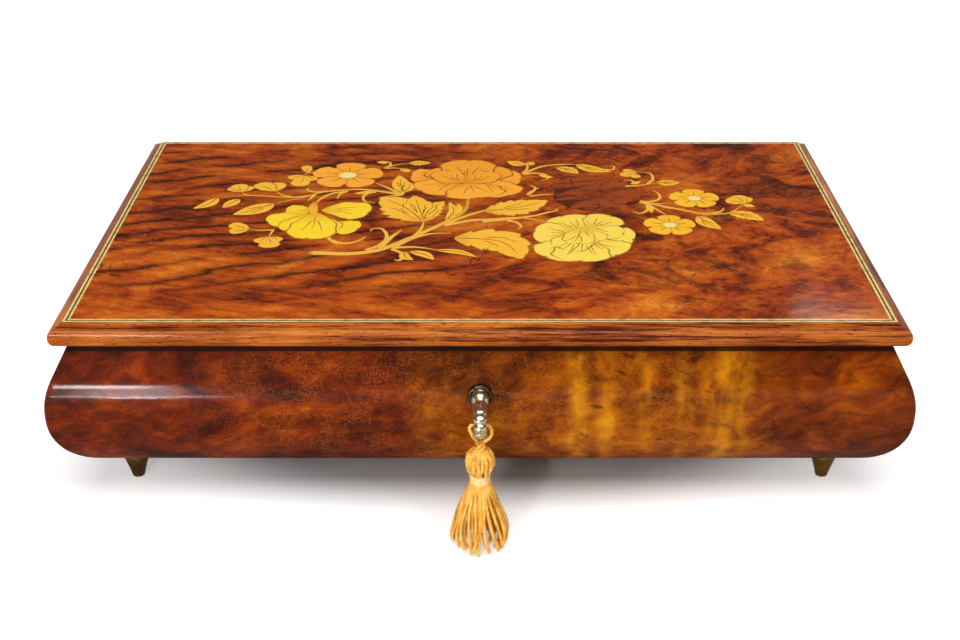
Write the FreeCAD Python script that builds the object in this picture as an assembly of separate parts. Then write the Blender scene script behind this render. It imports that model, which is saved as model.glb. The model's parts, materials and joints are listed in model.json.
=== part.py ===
import FreeCAD, Part

import math
import os

from FreeCAD import Vector

os.makedirs("parts", exist_ok=True)

# A musical jewellery box: a bowed wooden case on four brass feet, a flat inlaid lid on two stop hinges,
# a key lock at the front with a tassel on the key, and a wind-up musical movement in a rear corner.
# Millimetres. +Z is up, the front faces -Y, +X is to the right as the front is seen. The origin lies on the
# surface the box stands on, midway between the sides and midway between the key's tip and the hinges' backs.

# Overall sizes
lid_width = 300.0
lid_depth = 195.0
foot_height = 9.8
rim_height = 63.7
lid_gap = 0.3
lid_edge_height = 8.4

# Bowed case walls: every inset is measured inwards from the lid's outermost edge
rim_inset = 5.5
belly_bulge = 3.5
upper_round_share = 0.5009
belly_straight_share = 0.0371
lower_round_share = 0.5195
wall_inset = 16.0
back_thickness = 8.0
base_thickness = 4.0

# Lid edge moulding, panel and stringing
moulding_inset = 4.6
moulding_width = 18.0
moulding_top_round = 4.4
moulding_bottom_round = 2.6
panel_thickness = 4.4
veneer_thickness = 0.6
string_light_width = 0.8
string_dark_width = 0.7
lid_lining_thickness = 2.4
lining_margin = 0.3

# Feet
foot_inset = 21.0
foot_top_radius = 4.7
foot_waist_radius = 4.1
foot_tip_radius = 2.3
foot_seat_depth = 1.3
foot_waist_share = 0.62
foot_rim = 0.8
foot_sides = 20

# Velvet lining and dividers
floor_lining_thickness = 1.2
wall_lining_thickness = 1.0
lining_height = 34.0
divider_thickness = 3.0
divider_height = 34.5
movement_bay_width = 66.5
movement_bay_depth = 60.0
roll_count = 6
roll_gap = 1.0
roll_margin = 1.8
roll_steps = 12
roll_height = 20.0
roll_tuck = 1.0
roll_end_gap = 1.0

# Hinges
hinge_spacing = 190.0
hinge_length = 30.0
hinge_set_back = 2.4
leaf_thickness = 1.1
leaf_depth = 8.0
leaf_overhang = 0.2
case_screw_length = 7.0
lid_screw_length = 2.8
knuckle_radius = 2.0
knuckle_count = 3
knuckle_sides = 20
pin_radius = 0.9
running_clearance = 0.06
part_gap = 0.3
stop_angle = 95.0
stop_reach = 3.2
stop_slack = 0.6

# Lock, key and keyhole ring
key_drop = 16.6
ring_radius = 4.4
ring_hole_radius = 3.05
ring_lip = 1.1
ring_bevel = 0.45
ring_spigot_radius = 3.8
ring_spigot_length = 5.0
lock_width = 30.0
lock_depth = 7.0
lock_wall = 1.0
lock_plate_width = 36.0
lock_plate_thickness = 1.5
lock_bottom = 7.4
selvedge_reach = 1.0
lock_top_gap = 0.6
lock_plate_drop = 3.0
lock_screw_margin = 2.2
lock_screw_length = 6.0
bolt_thickness = 1.6
bolt_throw = 3.0
bolt_slack = 0.35
bolt_guide_radius = 0.8
bolt_guide_spread = 8.6
bolt_post = 1.9
staple_spacing = 15.0
staple_thickness = 1.5
staple_width = 3.4
staple_drop = 9.2
staple_foot = 1.1
staple_play = 0.5
staple_eye_width = 2.2
staple_eye_height = 2.9
key_shaft_radius = 1.6
key_pilot_radius = 1.1
key_pilot_length = 1.1
key_bit_reach = 3.0
key_bit_width = 1.4
talon_play = 0.9
key_barrel_radius = 2.45
key_collar_radius = 3.1
key_neck_radius = 1.7
key_baluster_radius = 2.35
key_taper = 1.2
collar_start = 1.5
collar_end = 5.0
baluster_start = 7.4
baluster_end = 11.2
bow_out = 19.0
bow_half_length = 6.3
bow_half_height = 5.6
bow_hole_radius = 2.9
bow_thickness = 3.0
bow_lobe_depth = 0.12
bow_lobes = 8
bow_steps = 5
key_sides = 24
ring_sides = 32

# Tassel
cord_radius = 0.65
cord_sides = 6
loop_radius = 2.9
tassel_forward = 1.0
loop_foot_share = 0.3
loop_drop = 4.25
tassel_clearance = 1.5
knot_radius = 1.9
knot_end_share = 0.6
knot_groove = 0.85
neck_gap = 0.4
head_centre_share = 0.841
head_radius = 5.1
head_steps = 6
head_end_share = 0.12
head_groove = 0.88
wrap_radius = 3.9
wrap_top_share = 0.7197
wrap_bottom_share = 0.6119
wrap_turns = 3
wrap_groove = 0.25
skirt_top_radius = 3.6
skirt_mid_radius = 7.6
skirt_bottom_radius = 9.4
skirt_tuck = 1.2
skirt_full_share = 0.16
skirt_mid_share = 0.55
skirt_groove = 0.86
strand_count = 12

# Musical movement, heights above the box's base board
bed_length = 52.0
bed_width = 40.0
bed_thickness = 2.8
bed_corner = 3.0
bed_screw_margin = 4.0
bed_screw_hold = 2.2
gear_module = 0.5
tooth_foot_share = 0.50
tooth_crest_share = 0.24
tooth_addendum = 0.9
tooth_dedendum = 1.15
barrel_offset = 15.0
barrel_radius = 10.6
barrel_bottom = 3.4
barrel_height = 9.0
barrel_wall = 1.2
barrel_cap = 1.0
barrel_sides = 40
crown_teeth = 40
crown_face = 1.8
crown_tooth_height = 1.1
pinion_teeth = 10
wheel_teeth = 40
worm_wheel_teeth = 16
gear_width = 1.4
gear_side_gap = 0.2
worm_wheel_width = 1.0
cylinder_radius = 6.5
cylinder_length = 21.0
cylinder_start = -1.5
arbor_radius = 1.0
arbor_reach = 5.4
peg_size = 0.5
peg_height = 0.7
pegs_per_track = 2
peg_track_turn = 137.5
peg_beat_turn = 23.0
comb_teeth = 18
comb_pitch = 1.12
comb_slot = 0.25
comb_tip_gap = 0.3
comb_thickness = 1.2
comb_back = 19.4
comb_shortest = 4.6
comb_longest = 8.2
riser_depth = 5.2
comb_screw_length = 4.5
comb_screw_margin = 4.0
riser_margin = 1.0
bracket_thickness = 1.2
bracket_rise = 3.2
bracket_half = 4.0
bracket_side_gap = 2.2
left_bracket_gap = 0.8
governor_side_gap = 1.8
governor_half = 2.2
governor_thickness = 1.0
worm_radius = 1.2
worm_core_radius = 0.62
worm_outer_radius = 1.62
worm_turns = 3
worm_steps = 8
thread_foot = 0.34
thread_crest = 0.16
root_sink = 0.1
fan_radius = 3.8
fan_height = 5.0
fan_thickness = 0.4
fan_bottom = 4.4
fan_shaft_radius = 0.5
fan_hub_radius = 1.1
governor_height = 22.5
winder_radius = 1.5
winding_key_wing = 22.0
winding_key_height = 6.6
winding_key_thickness = 1.8
winding_key_hub = 3.0
winding_key_gap = 0.9
winding_key_corner = 2.0
winding_key_shoulder = 1.2
winding_hole_radius = 4.6
spring_turns = 5
spring_steps = 12
spring_thickness = 0.35
stop_rod_radius = 0.6
stop_button_radius = 1.8
stop_button_height = 2.0
stop_catch = 1.0
cover_thickness = 2.0
cover_top = 33.4
cover_notch_radius = 7.0
cover_block_size = 6.0

# Small screws
screw_head_radius = 1.7
screw_head_depth = 1.1
screw_shank_radius = 0.8
screw_sides = 8

# Allowances for cutting: how far a cutting block reaches past what it cuts, and a mitre past a frame
cut_margin = 1.0
mitre_reach = 20.0
mitre_margin = 6.0


half_width = lid_width / 2
lid_bottom = rim_height + lid_gap
wall_height = rim_height - foot_height
upper_round = wall_height * upper_round_share
belly_straight = wall_height * belly_straight_share
lower_round = wall_height * lower_round_share
key_height = rim_height - key_drop


def belly_inset(height):
    """Inset of the case's outer face at a height, from the lid's edge; negative stands outside it."""
    belly_top = foot_height + lower_round + belly_straight
    if height < belly_top - belly_straight:
        drop = belly_top - belly_straight - height
        return lower_round - belly_bulge - math.sqrt(lower_round ** 2 - drop ** 2)
    if height < belly_top:
        return -belly_bulge
    turn = upper_turn()
    arc_top = belly_top + upper_round * math.sin(turn)
    if height < arc_top:
        rise = height - belly_top
        return upper_round - belly_bulge - math.sqrt(upper_round ** 2 - rise ** 2)
    arc_end = upper_round * (1 - math.cos(turn)) - belly_bulge
    return arc_end + (height - arc_top) * math.tan(turn)


def upper_turn():
    """Angle through which the upper arc turns before it runs straight to the rim."""
    along = upper_round - belly_bulge - rim_inset
    up = rim_height - foot_height - lower_round - belly_straight
    reach = math.hypot(along, up)
    return math.atan2(up, along) - math.acos(upper_round / reach)


lid_top = lid_bottom + lid_edge_height
panel_bottom = lid_top - veneer_thickness - panel_thickness
lining_bottom = panel_bottom - lid_lining_thickness
floor_height = foot_height + base_thickness
key_face_inset = belly_inset(key_height)
key_reach = bow_out + bow_half_length - key_face_inset
hinge_reach = hinge_set_back + max(knuckle_radius, stop_reach * math.cos(math.radians(stop_angle / 2)))
front = (key_reach - lid_depth - hinge_reach) / 2
back = front + lid_depth
hinge_height = rim_height + lid_gap / 2
hinge_y = back + hinge_set_back
cavity_front = front + wall_inset
cavity_back = back - back_thickness
cavity_side = half_width - wall_inset
key_face = front + key_face_inset
bow_y = key_face - bow_out
bar_height = key_height - (bow_hole_radius + bow_half_height) / 2
tassel_y = bow_y - tassel_forward
knot_height = bar_height - loop_drop


def tassel_level(share):
    """Height of a part of the tassel, as a share of the way up from its tips to its knot."""
    return tassel_clearance + share * (knot_height - tassel_clearance)


def block(x0, x1, y0, y1, z0, z1):
    """Box between two corners."""
    return Part.makeBox(x1 - x0, y1 - y0, z1 - z0, Vector(x0, y0, z0))


def rod(radius, start, end):
    """Round bar from one point to another."""
    along = end - start
    return Part.makeCylinder(radius, along.Length, start, along)


def prism(points, travel):
    """Flat outline pushed along a vector."""
    wire = Part.makePolygon(points + points[:1])
    return Part.Face(wire).extrude(travel)


def outline(edges):
    """Face inside a chain of edges."""
    return Part.Face(Part.Wire(edges))


def ringed_solid(rings):
    """Solid with flat faces through rings of corners, as many in each; two triangles fill each gap."""
    first, last = rings[0], rings[-1]
    faces = [Part.Face(Part.makePolygon(ring + ring[:1])) for ring in (first, last)]
    for low, high in zip(rings, rings[1:]):
        for a, b, c, d in zip(low, low[1:] + low[:1], high[1:] + high[:1], high):
            flat = abs((b - a).cross(d - a).dot(c - a)) < 1e-6
            for corners in ([[a, b, c, d]] if flat else [[a, b, c], [a, c, d]]):
                faces.append(Part.Face(Part.makePolygon(corners + corners[:1])))
    solid = Part.Solid(Part.makeShell(faces))
    return solid if solid.Volume > 0 else solid.reversed()


def save(name, shapes):
    """Writes one node: a solid, or a group of separate solids."""
    shape = shapes if isinstance(shapes, Part.Shape) else Part.makeCompound(shapes)
    solids = shape.Solids
    shape = solids[0] if len(solids) == 1 else Part.makeCompound(solids)
    shape.exportStep("parts/" + name + ".step")


def ring_points(place, axis, radius, sides):
    """Corners of a regular polygon round a place, square to an axis along X, Y or Z."""
    first = Vector(0, 0, 1) if abs(axis.z) < 0.5 else Vector(1, 0, 0)
    second = axis.cross(first)
    turns = [2 * math.pi * index / sides for index in range(sides)]
    return [place + first * (radius * math.cos(turn)) + second * (radius * math.sin(turn)) for turn in turns]


def screw(place, axis, length):
    """Screw with its head flush at place and its shank along axis; each has a few flats, as there are many."""
    head = prism(ring_points(place, axis, screw_head_radius, screw_sides), axis * screw_head_depth)
    shank = prism(ring_points(place, axis, screw_shank_radius, screw_sides), axis * length)
    return head.fuse(shank).removeSplitter()


# Bowed case

def bowed_half(plane, sign, edge):
    """Outer edges of a bowed wall from its rim down to the underside, in the plane given by a function."""
    belly_low = foot_height + lower_round
    belly_top = belly_low + belly_straight
    turn = upper_turn()

    def at(inset, height):
        return plane(edge - sign * inset, height)

    upper_centre = upper_round - belly_bulge
    lower_centre = lower_round - belly_bulge
    arc_start = (upper_centre - upper_round * math.cos(turn), belly_top + upper_round * math.sin(turn))
    half = turn / 2
    arc_mid = (upper_centre - upper_round * math.cos(half), belly_top + upper_round * math.sin(half))
    diagonal = lower_round * math.sqrt(0.5)
    low_mid = (lower_centre - diagonal, belly_low - diagonal)
    rim = at(rim_inset, rim_height)
    return [
        Part.LineSegment(rim, at(*arc_start)).toShape(),
        Part.Arc(at(*arc_start), at(*arc_mid), at(-belly_bulge, belly_top)).toShape(),
        Part.LineSegment(at(-belly_bulge, belly_top), at(-belly_bulge, belly_low)).toShape(),
        Part.Arc(at(-belly_bulge, belly_low), at(*low_mid), at(lower_centre, foot_height)).toShape(),
    ]


def case_block():
    """Whole outside of the case as one solid: bowed front and sides, flat back, mitred corners."""
    reach = lid_width

    def side_plane(across, height):
        return Vector(across, -reach, height)

    def front_plane(across, height):
        return Vector(-reach, across, height)

    flat = lower_round - belly_bulge
    right = bowed_half(side_plane, 1, half_width)
    left = bowed_half(side_plane, -1, -half_width)
    bottom = Part.LineSegment(
        Vector(half_width - flat, -reach, foot_height), Vector(flat - half_width, -reach, foot_height)
    ).toShape()
    top = Part.LineSegment(
        Vector(rim_inset - half_width, -reach, rim_height), Vector(half_width - rim_inset, -reach, rim_height)
    ).toShape()
    across = outline(right + [bottom] + left[::-1] + [top]).extrude(Vector(0, 2 * reach, 0))
    bow = bowed_half(front_plane, -1, front)
    under = Part.LineSegment(
        Vector(-reach, front + flat, foot_height), Vector(-reach, back, foot_height)
    ).toShape()
    rear = Part.LineSegment(Vector(-reach, back, foot_height), Vector(-reach, back, rim_height)).toShape()
    rim = Part.LineSegment(
        Vector(-reach, back, rim_height), Vector(-reach, front + rim_inset, rim_height)
    ).toShape()
    along = outline(bow + [under, rear, rim]).extrude(Vector(2 * reach, 0, 0))
    return along.common(across)


def mitre(side, low, high, depth):
    """Wedge that holds one side of a rectangular frame, cut at 45 degrees at both ends."""
    x0, x1, y0, y1 = -half_width, half_width, front, back
    far = mitre_reach
    outer = [(x0 - far, y0 - far), (x1 + far, y0 - far), (x1 + far, y1 + far), (x0 - far, y1 + far)]
    left, right, near, rear = x0 + depth, x1 - depth, y0 + depth, y1 - depth
    inner = [(left, near), (right, near), (right, rear), (left, rear)]
    first = ("front", "right", "back", "left").index(side)
    second = (first + 1) % 4
    corners = [outer[first], outer[second], inner[second], inner[first]]
    points = [Vector(x, y, low) for x, y in corners]
    return prism(points, Vector(0, 0, high - low))


def hinge_places():
    """Middle of each hinge along X."""
    return [-hinge_spacing / 2, hinge_spacing / 2]


def leaf_block(centre, low):
    """Space that one hinge leaf takes in the wood, from its front edge to the back face."""
    half = hinge_length / 2
    return block(centre - half, centre + half, back - leaf_depth, back + cut_margin, low, low + leaf_thickness)


def hinge_screws(centre, sign):
    """Two screws through a hinge leaf, down into the case or up into the lid."""
    flush = rim_height if sign < 0 else lid_bottom
    length = case_screw_length if sign < 0 else lid_screw_length
    return [screw(Vector(x, y, flush), Vector(0, 0, sign), length) for x, y in screw_places(centre)]


def screw_places(centre):
    """Two screws in a hinge leaf."""
    return [(centre + shift, back - leaf_depth / 2) for shift in (-hinge_length / 3, hinge_length / 3)]


def lock_recess():
    """Space cut into the front wall for the lock and its two plates."""
    half, plate = lock_width / 2, lock_plate_width / 2
    deep = cavity_front - lock_depth
    bottom = key_height - lock_bottom
    low = bottom - lock_plate_drop
    near, high = cavity_front + cut_margin, rim_height + cut_margin
    body = block(-half, half, deep, near, bottom, high)
    inner = block(-plate, plate, cavity_front - lock_plate_thickness, near, low, high)
    top = block(-plate, plate, deep - selvedge_reach, near, rim_height - lock_plate_thickness, high)
    return body.fuse([inner, top])


def lock_fixings():
    """Two screws through the lock's back plate into the front wall."""
    side = lock_plate_width / 2 - lock_screw_margin
    places = [Vector(x, cavity_front, key_height) for x in (-side, side)]
    return [screw(place, Vector(0, -1, 0), lock_screw_length) for place in places]


def build_case():
    """Base board, four walls and feet."""
    shell = case_block()
    tall = lid_width
    cavity = block(-cavity_side, cavity_side, cavity_front, cavity_back, floor_height, tall)
    above = block(-tall, tall, -tall, cavity_back, floor_height, tall)
    base = shell.common(block(-tall, tall, -tall, cavity_back, 0, floor_height))
    walls = shell.common(above).cut(cavity)

    back_wall = shell.common(block(-tall, tall, cavity_back, tall, 0, tall))
    for centre in hinge_places():
        back_wall = back_wall.cut([leaf_block(centre, rim_height - leaf_thickness)] + hinge_screws(centre, -1))

    wedges = {side: mitre(side, 0, tall, wall_inset + mitre_margin) for side in ("front", "left", "right")}
    inwards = Vector(0, 1, 0)
    shaft_hole, spigot, seat = (
        prism(ring_points(Vector(0, -tall, key_height), inwards, radius, ring_sides), inwards * (tall + end))
        for radius, end in (
            (ring_hole_radius, cavity_front),
            (ring_spigot_radius, key_face + ring_spigot_length),
            (ring_radius, key_face),
        )
    )
    front_wall = walls.common(wedges["front"]).cut([shaft_hole, spigot, seat, lock_recess()] + lock_fixings())
    side_in = cavity_side - cut_margin
    left_wall = walls.common(wedges["left"].fuse(block(-tall, -side_in, 0, tall, 0, tall)))
    right_wall = walls.common(wedges["right"].fuse(block(side_in, tall, 0, tall, 0, tall)))

    bed_x, bed_y = movement_centre()
    winder = Vector(bed_x - barrel_offset, bed_y, 0)
    up = Vector(0, 0, 1)
    winding_hole = prism(ring_points(winder, up, winding_hole_radius, foot_sides), up * tall)
    base = base.cut([winding_hole] + movement_fixings())
    feet = []
    for x in (-half_width + foot_inset, half_width - foot_inset):
        for y in (front + foot_inset, back - foot_inset):
            foot = build_foot(x, y)
            base = base.cut(foot)
            feet.append(foot)
    save("base_board", base)
    save("front_wall", front_wall)
    save("left_wall", left_wall)
    save("right_wall", right_wall)
    save("back_wall", back_wall)
    save("feet", feet)


def build_foot(x, y):
    """One turned foot, whose top is let into the underside of the case; its rounds are drawn with flats."""
    profile = [
        (foot_tip_radius, 0),
        (foot_waist_radius, foot_height * foot_waist_share),
        (foot_top_radius, foot_height - foot_rim),
        (foot_top_radius, foot_height + foot_seat_depth),
    ]
    up = Vector(0, 0, 1)
    rings = [ring_points(Vector(x, y, height), up, radius, foot_sides) for radius, height in profile]
    return ringed_solid(rings)


# Lid

def lid_edges(plane, sign, edge, top):
    """Moulded edge of the lid from its underside up to the panel's edge."""

    def at(inset, height):
        return plane(edge - sign * inset, height)

    low, high = moulding_bottom_round, moulding_top_round
    turn = math.sqrt(0.5)
    low_mid = (low * (1 - turn), lid_bottom + low * (1 - turn))
    high_mid = (high * (1 - turn), top - high * (1 - turn))
    return [
        Part.Arc(at(low, lid_bottom), at(*low_mid), at(0, lid_bottom + low)).toShape(),
        Part.LineSegment(at(0, lid_bottom + low), at(0, top - high)).toShape(),
        Part.Arc(at(0, top - high), at(*high_mid), at(high, top)).toShape(),
    ]


def lid_block():
    """Outside of the lid's moulded frame as one solid, with its edge rounded on all four sides."""
    reach = lid_width

    def side_plane(across, height):
        return Vector(across, -reach, height)

    def front_plane(across, height):
        return Vector(-reach, across, height)

    shapes = []
    for plane, low_edge, high_edge, travel in (
        (side_plane, -half_width, half_width, Vector(0, 2 * reach, 0)),
        (front_plane, front, back, Vector(2 * reach, 0, 0)),
    ):
        first = lid_edges(plane, -1, low_edge, lid_top)
        second = lid_edges(plane, 1, high_edge, lid_top)
        inner, outer = moulding_top_round, moulding_bottom_round
        top = Part.LineSegment(plane(low_edge + inner, lid_top), plane(high_edge - inner, lid_top)).toShape()
        bottom = Part.LineSegment(
            plane(high_edge - outer, lid_bottom), plane(low_edge + outer, lid_bottom)
        ).toShape()
        shapes.append(outline(first + [top] + second[::-1] + [bottom]).extrude(travel))
    return shapes[0].common(shapes[1])


def inset_block(inset, low, high):
    """Rectangular block inset by the same amount from all four edges of the lid."""
    return block(-half_width + inset, half_width - inset, front + inset, back - inset, low, high)


def build_lid():
    """Moulded frame, panel, veneer, stringing, lining."""
    frame = lid_block().cut(inset_block(moulding_inset, panel_bottom, lid_top + cut_margin))
    frame = frame.cut(inset_block(moulding_width, lid_bottom - cut_margin, lid_top + cut_margin))
    for centre in hinge_places():
        frame = frame.cut([leaf_block(centre, lid_bottom)] + hinge_screws(centre, 1))
    frame = frame.cut([strike_block()] + strike_fixings())
    for side in ("front", "back", "left", "right"):
        save("lid_moulding_" + side, frame.common(mitre(side, 0, lid_width, moulding_width + mitre_margin)))
    veneer_bottom = lid_top - veneer_thickness
    save("lid_panel", inset_block(moulding_inset, panel_bottom, veneer_bottom))
    inset = moulding_inset
    for name, width in (
        ("stringing_outer", string_light_width),
        ("stringing_dark", string_dark_width),
        ("stringing_inner", string_light_width),
    ):
        ring = inset_block(inset, veneer_bottom, lid_top).cut(inset_block(inset + width, 0, lid_width))
        save(name, ring)
        inset += width
    save("lid_veneer", inset_block(inset, veneer_bottom, lid_top))
    lining = inset_block(moulding_width + lining_margin, lining_bottom, panel_bottom)
    save("lid_lining", lining)


# Hinges

def build_hinges():
    """Two stop hinges: leaves let into the rim and the lid, knuckles behind the back, and pins."""
    case_leaves, lid_leaves, pins = [], [], []
    knuckle = hinge_length / knuckle_count
    half_stop = math.radians(stop_angle / 2 + stop_slack / 2)
    half_length = Vector(hinge_length / 2, 0, 0)
    for centre in hinge_places():
        middle = Vector(centre, hinge_y, hinge_height)
        first = centre - hinge_length / 2
        along = Vector(1, 0, 0)
        bore = prism(
            ring_points(middle - half_length, along, pin_radius + running_clearance, knuckle_sides), half_length * 2
        )
        for leaves, low, sign in ((case_leaves, rim_height - leaf_thickness, -1), (lid_leaves, lid_bottom, 1)):
            plate = block(
                first, first + hinge_length, back - leaf_depth, back + leaf_overhang, low, low + leaf_thickness
            )
            pieces = []
            for index in range(knuckle_count):
                if (index % 2 == 0) == (sign < 0):
                    x0 = first + index * knuckle + part_gap / 2
                    x1 = x0 + knuckle - part_gap
                    end = Vector(x0, hinge_y, hinge_height)
                    eye = prism(ring_points(end, along, knuckle_radius, knuckle_sides), along * (x1 - x0))
                    web = block(x0, x1, back - leaf_overhang, hinge_y, low, low + leaf_thickness)
                    nose = prism(stop_nose(x0, sign, half_stop, pin_radius), Vector(x1 - x0, 0, 0))
                    pieces += [eye, web, nose]
            bar = prism(stop_nose(first, sign, half_stop, knuckle_radius + part_gap), half_length * 2)
            leaf = plate.fuse(pieces + [bar]).cut([bore] + hinge_screws(centre, sign))
            leaves.append(leaf.removeSplitter())
        pins.append(rod(pin_radius, middle - half_length, middle + half_length))
    save("hinge_leaves_case", case_leaves)
    save("hinge_leaves_lid", lid_leaves)
    save("hinge_pins", pins)
    save("hinge_screws_case", [fixing for centre in hinge_places() for fixing in hinge_screws(centre, -1)])
    save("hinge_screws_lid", [fixing for centre in hinge_places() for fixing in hinge_screws(centre, 1)])


def stop_nose(x, sign, half_stop, inner):
    """Corners of the stop behind a knuckle, whose flat face meets the other leaf's at the full opening."""
    upright = math.radians(90)
    middle = (half_stop + upright) / 2
    rays = [(stop_reach, turn) for turn in (half_stop, middle, upright)]
    rays = [(inner, half_stop)] + rays + [(inner, upright)]
    if inner > knuckle_radius:
        rays.append((inner / math.cos((upright - half_stop) / 2), middle))
    return [
        Vector(x, hinge_y + radius * math.cos(angle), hinge_height + sign * radius * math.sin(angle))
        for radius, angle in rays
    ]


# Lock and key

def strike_fixings():
    """Two screws that hold the strike plate to the lid."""
    side = lock_plate_width / 2 - lock_screw_margin
    places = [Vector(x, cavity_front - lock_depth / 2, lid_bottom) for x in (-side, side)]
    return [screw(place, Vector(0, 0, 1), lid_screw_length) for place in places]


def strike_block():
    """Plate let into the lid's underside above the lock."""
    half = lock_plate_width / 2
    return block(
        -half, half, cavity_front - lock_depth - selvedge_reach, cavity_front,
        lid_bottom, lid_bottom + lock_plate_thickness,
    )


def staple_places():
    """Middle of each staple along X, and the middle of the bolt along Y."""
    return [-staple_spacing / 2, staple_spacing / 2]


def bolt_y():
    """Middle of the bolt's thickness, halfway through the lock case."""
    return cavity_front - (lock_depth - lock_wall + lock_plate_thickness) / 2


def build_lock():
    """Lock case, sliding bolt, keyhole ring, strike with two staples, and screws."""
    half, plate = lock_width / 2, lock_plate_width / 2
    deep = cavity_front - lock_depth
    inner_face = cavity_front - lock_plate_thickness
    bottom = key_height - lock_bottom
    top = rim_height - lock_plate_thickness
    middle = bolt_y()
    guides = [-bolt_guide_spread, bolt_guide_spread]

    box = block(-half, half, deep, cavity_front, bottom, rim_height)
    back_plate = block(-plate, plate, inner_face, cavity_front, bottom - lock_plate_drop, rim_height)
    selvedge = block(-plate, plate, deep - selvedge_reach, cavity_front, top, rim_height)
    hollow = block(
        -half + lock_wall, half - lock_wall,
        deep + lock_wall, inner_face,
        bottom + lock_wall, top - lock_top_gap,
    )
    inwards = Vector(0, 1, 0)
    bore_start = Vector(0, deep - cut_margin, key_height)
    bore_travel = inwards * (cut_margin + lock_wall)
    bore = prism(ring_points(bore_start, inwards, ring_hole_radius, ring_sides), bore_travel)
    pilot_start = Vector(0, inner_face - cut_margin, key_height)
    pilot_end = Vector(0, inner_face + key_pilot_length + part_gap, key_height)
    pilot = rod(key_pilot_radius + running_clearance, pilot_start, pilot_end)
    slots = []
    for x in staple_places():
        across, deep_slot = staple_thickness / 2 + staple_play, staple_width / 2 + staple_play
        slots.append(
            block(
                x - across, x + across,
                middle - deep_slot, middle + deep_slot,
                top - cut_margin, rim_height + cut_margin,
            )
        )
    lock_case = box.fuse([back_plate, selvedge]).cut([hollow, bore, pilot] + slots)
    pins = [
        rod(bolt_guide_radius, Vector(x, deep + lock_wall, key_height), Vector(x, inner_face, key_height))
        for x in guides
    ]
    save("lock_case", lock_case.fuse(pins).cut(lock_fixings()).removeSplitter())
    save("lock_screws", lock_fixings())

    inner = half - lock_wall - bolt_slack
    bolt_low, bolt_high = bottom + lock_wall + bolt_slack, lid_bottom - staple_drop - staple_play
    y0, y1 = middle - bolt_thickness / 2, middle + bolt_thickness / 2
    shaft_room = key_shaft_radius + bolt_slack
    bit_room = key_bit_reach + bolt_slack

    def through(x0, x1, z0, z1):
        return block(x0, x1, y0 - cut_margin, y1 + cut_margin, key_height + z0, key_height + z1)

    window = through(-shaft_room - bolt_throw, shaft_room + bolt_throw, -shaft_room, bit_room)
    talon_half = key_bit_width / 2 + talon_play
    talon = through(-talon_half, talon_half, -bit_room, 0)
    guide_room = bolt_guide_radius + bolt_slack
    tracks = [through(x - guide_room - bolt_throw, x + guide_room, -guide_room, guide_room) for x in guides]
    bolt = block(-inner, inner - bolt_throw, y0, y1, bolt_low, bolt_high).cut([window, talon] + tracks)
    eye_height = lid_bottom - staple_drop + staple_foot + staple_eye_height / 2
    finger_half = staple_eye_height / 2 - bolt_slack
    for x in staple_places():
        tip = x - staple_thickness / 2 - staple_play
        root = tip - bolt_throw
        finger = block(root, tip, y0, y1, eye_height - finger_half, eye_height + finger_half)
        post = block(root - bolt_post, root, y0, y1, bolt_high, eye_height + finger_half)
        bolt = bolt.fuse([post, finger])
    save("lock_bolt", bolt.removeSplitter())

    rings = [
        ring_points(Vector(0, key_face + along, key_height), inwards, radius, ring_sides)
        for radius, along in (
            (ring_radius - ring_bevel, -ring_lip), (ring_radius, ring_bevel - ring_lip), (ring_radius, 0),
            (ring_spigot_radius, 0), (ring_spigot_radius, ring_spigot_length),
        )
    ]
    hole_start = Vector(0, key_face - ring_lip - cut_margin, key_height)
    hole = prism(ring_points(hole_start, inwards, ring_hole_radius, ring_sides), inwards * lock_width)
    save("keyhole_ring", ringed_solid(rings).cut(hole))

    strike = strike_block()
    for x in staple_places():
        thick, wide, eye_wide = staple_thickness / 2, staple_width / 2, staple_eye_width / 2
        foot = lid_bottom - staple_drop
        staple = block(x - thick, x + thick, middle - wide, middle + wide, foot, lid_bottom)
        eye_low = eye_height - staple_eye_height / 2
        eye_half = thick + cut_margin
        eye = block(
            x - eye_half, x + eye_half,
            middle - eye_wide, middle + eye_wide,
            eye_low, eye_low + staple_eye_height,
        )
        strike = strike.fuse(staple.cut(eye))
    save("strike_plate", strike.cut(strike_fixings()).removeSplitter())
    save("strike_screws", strike_fixings())


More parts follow.
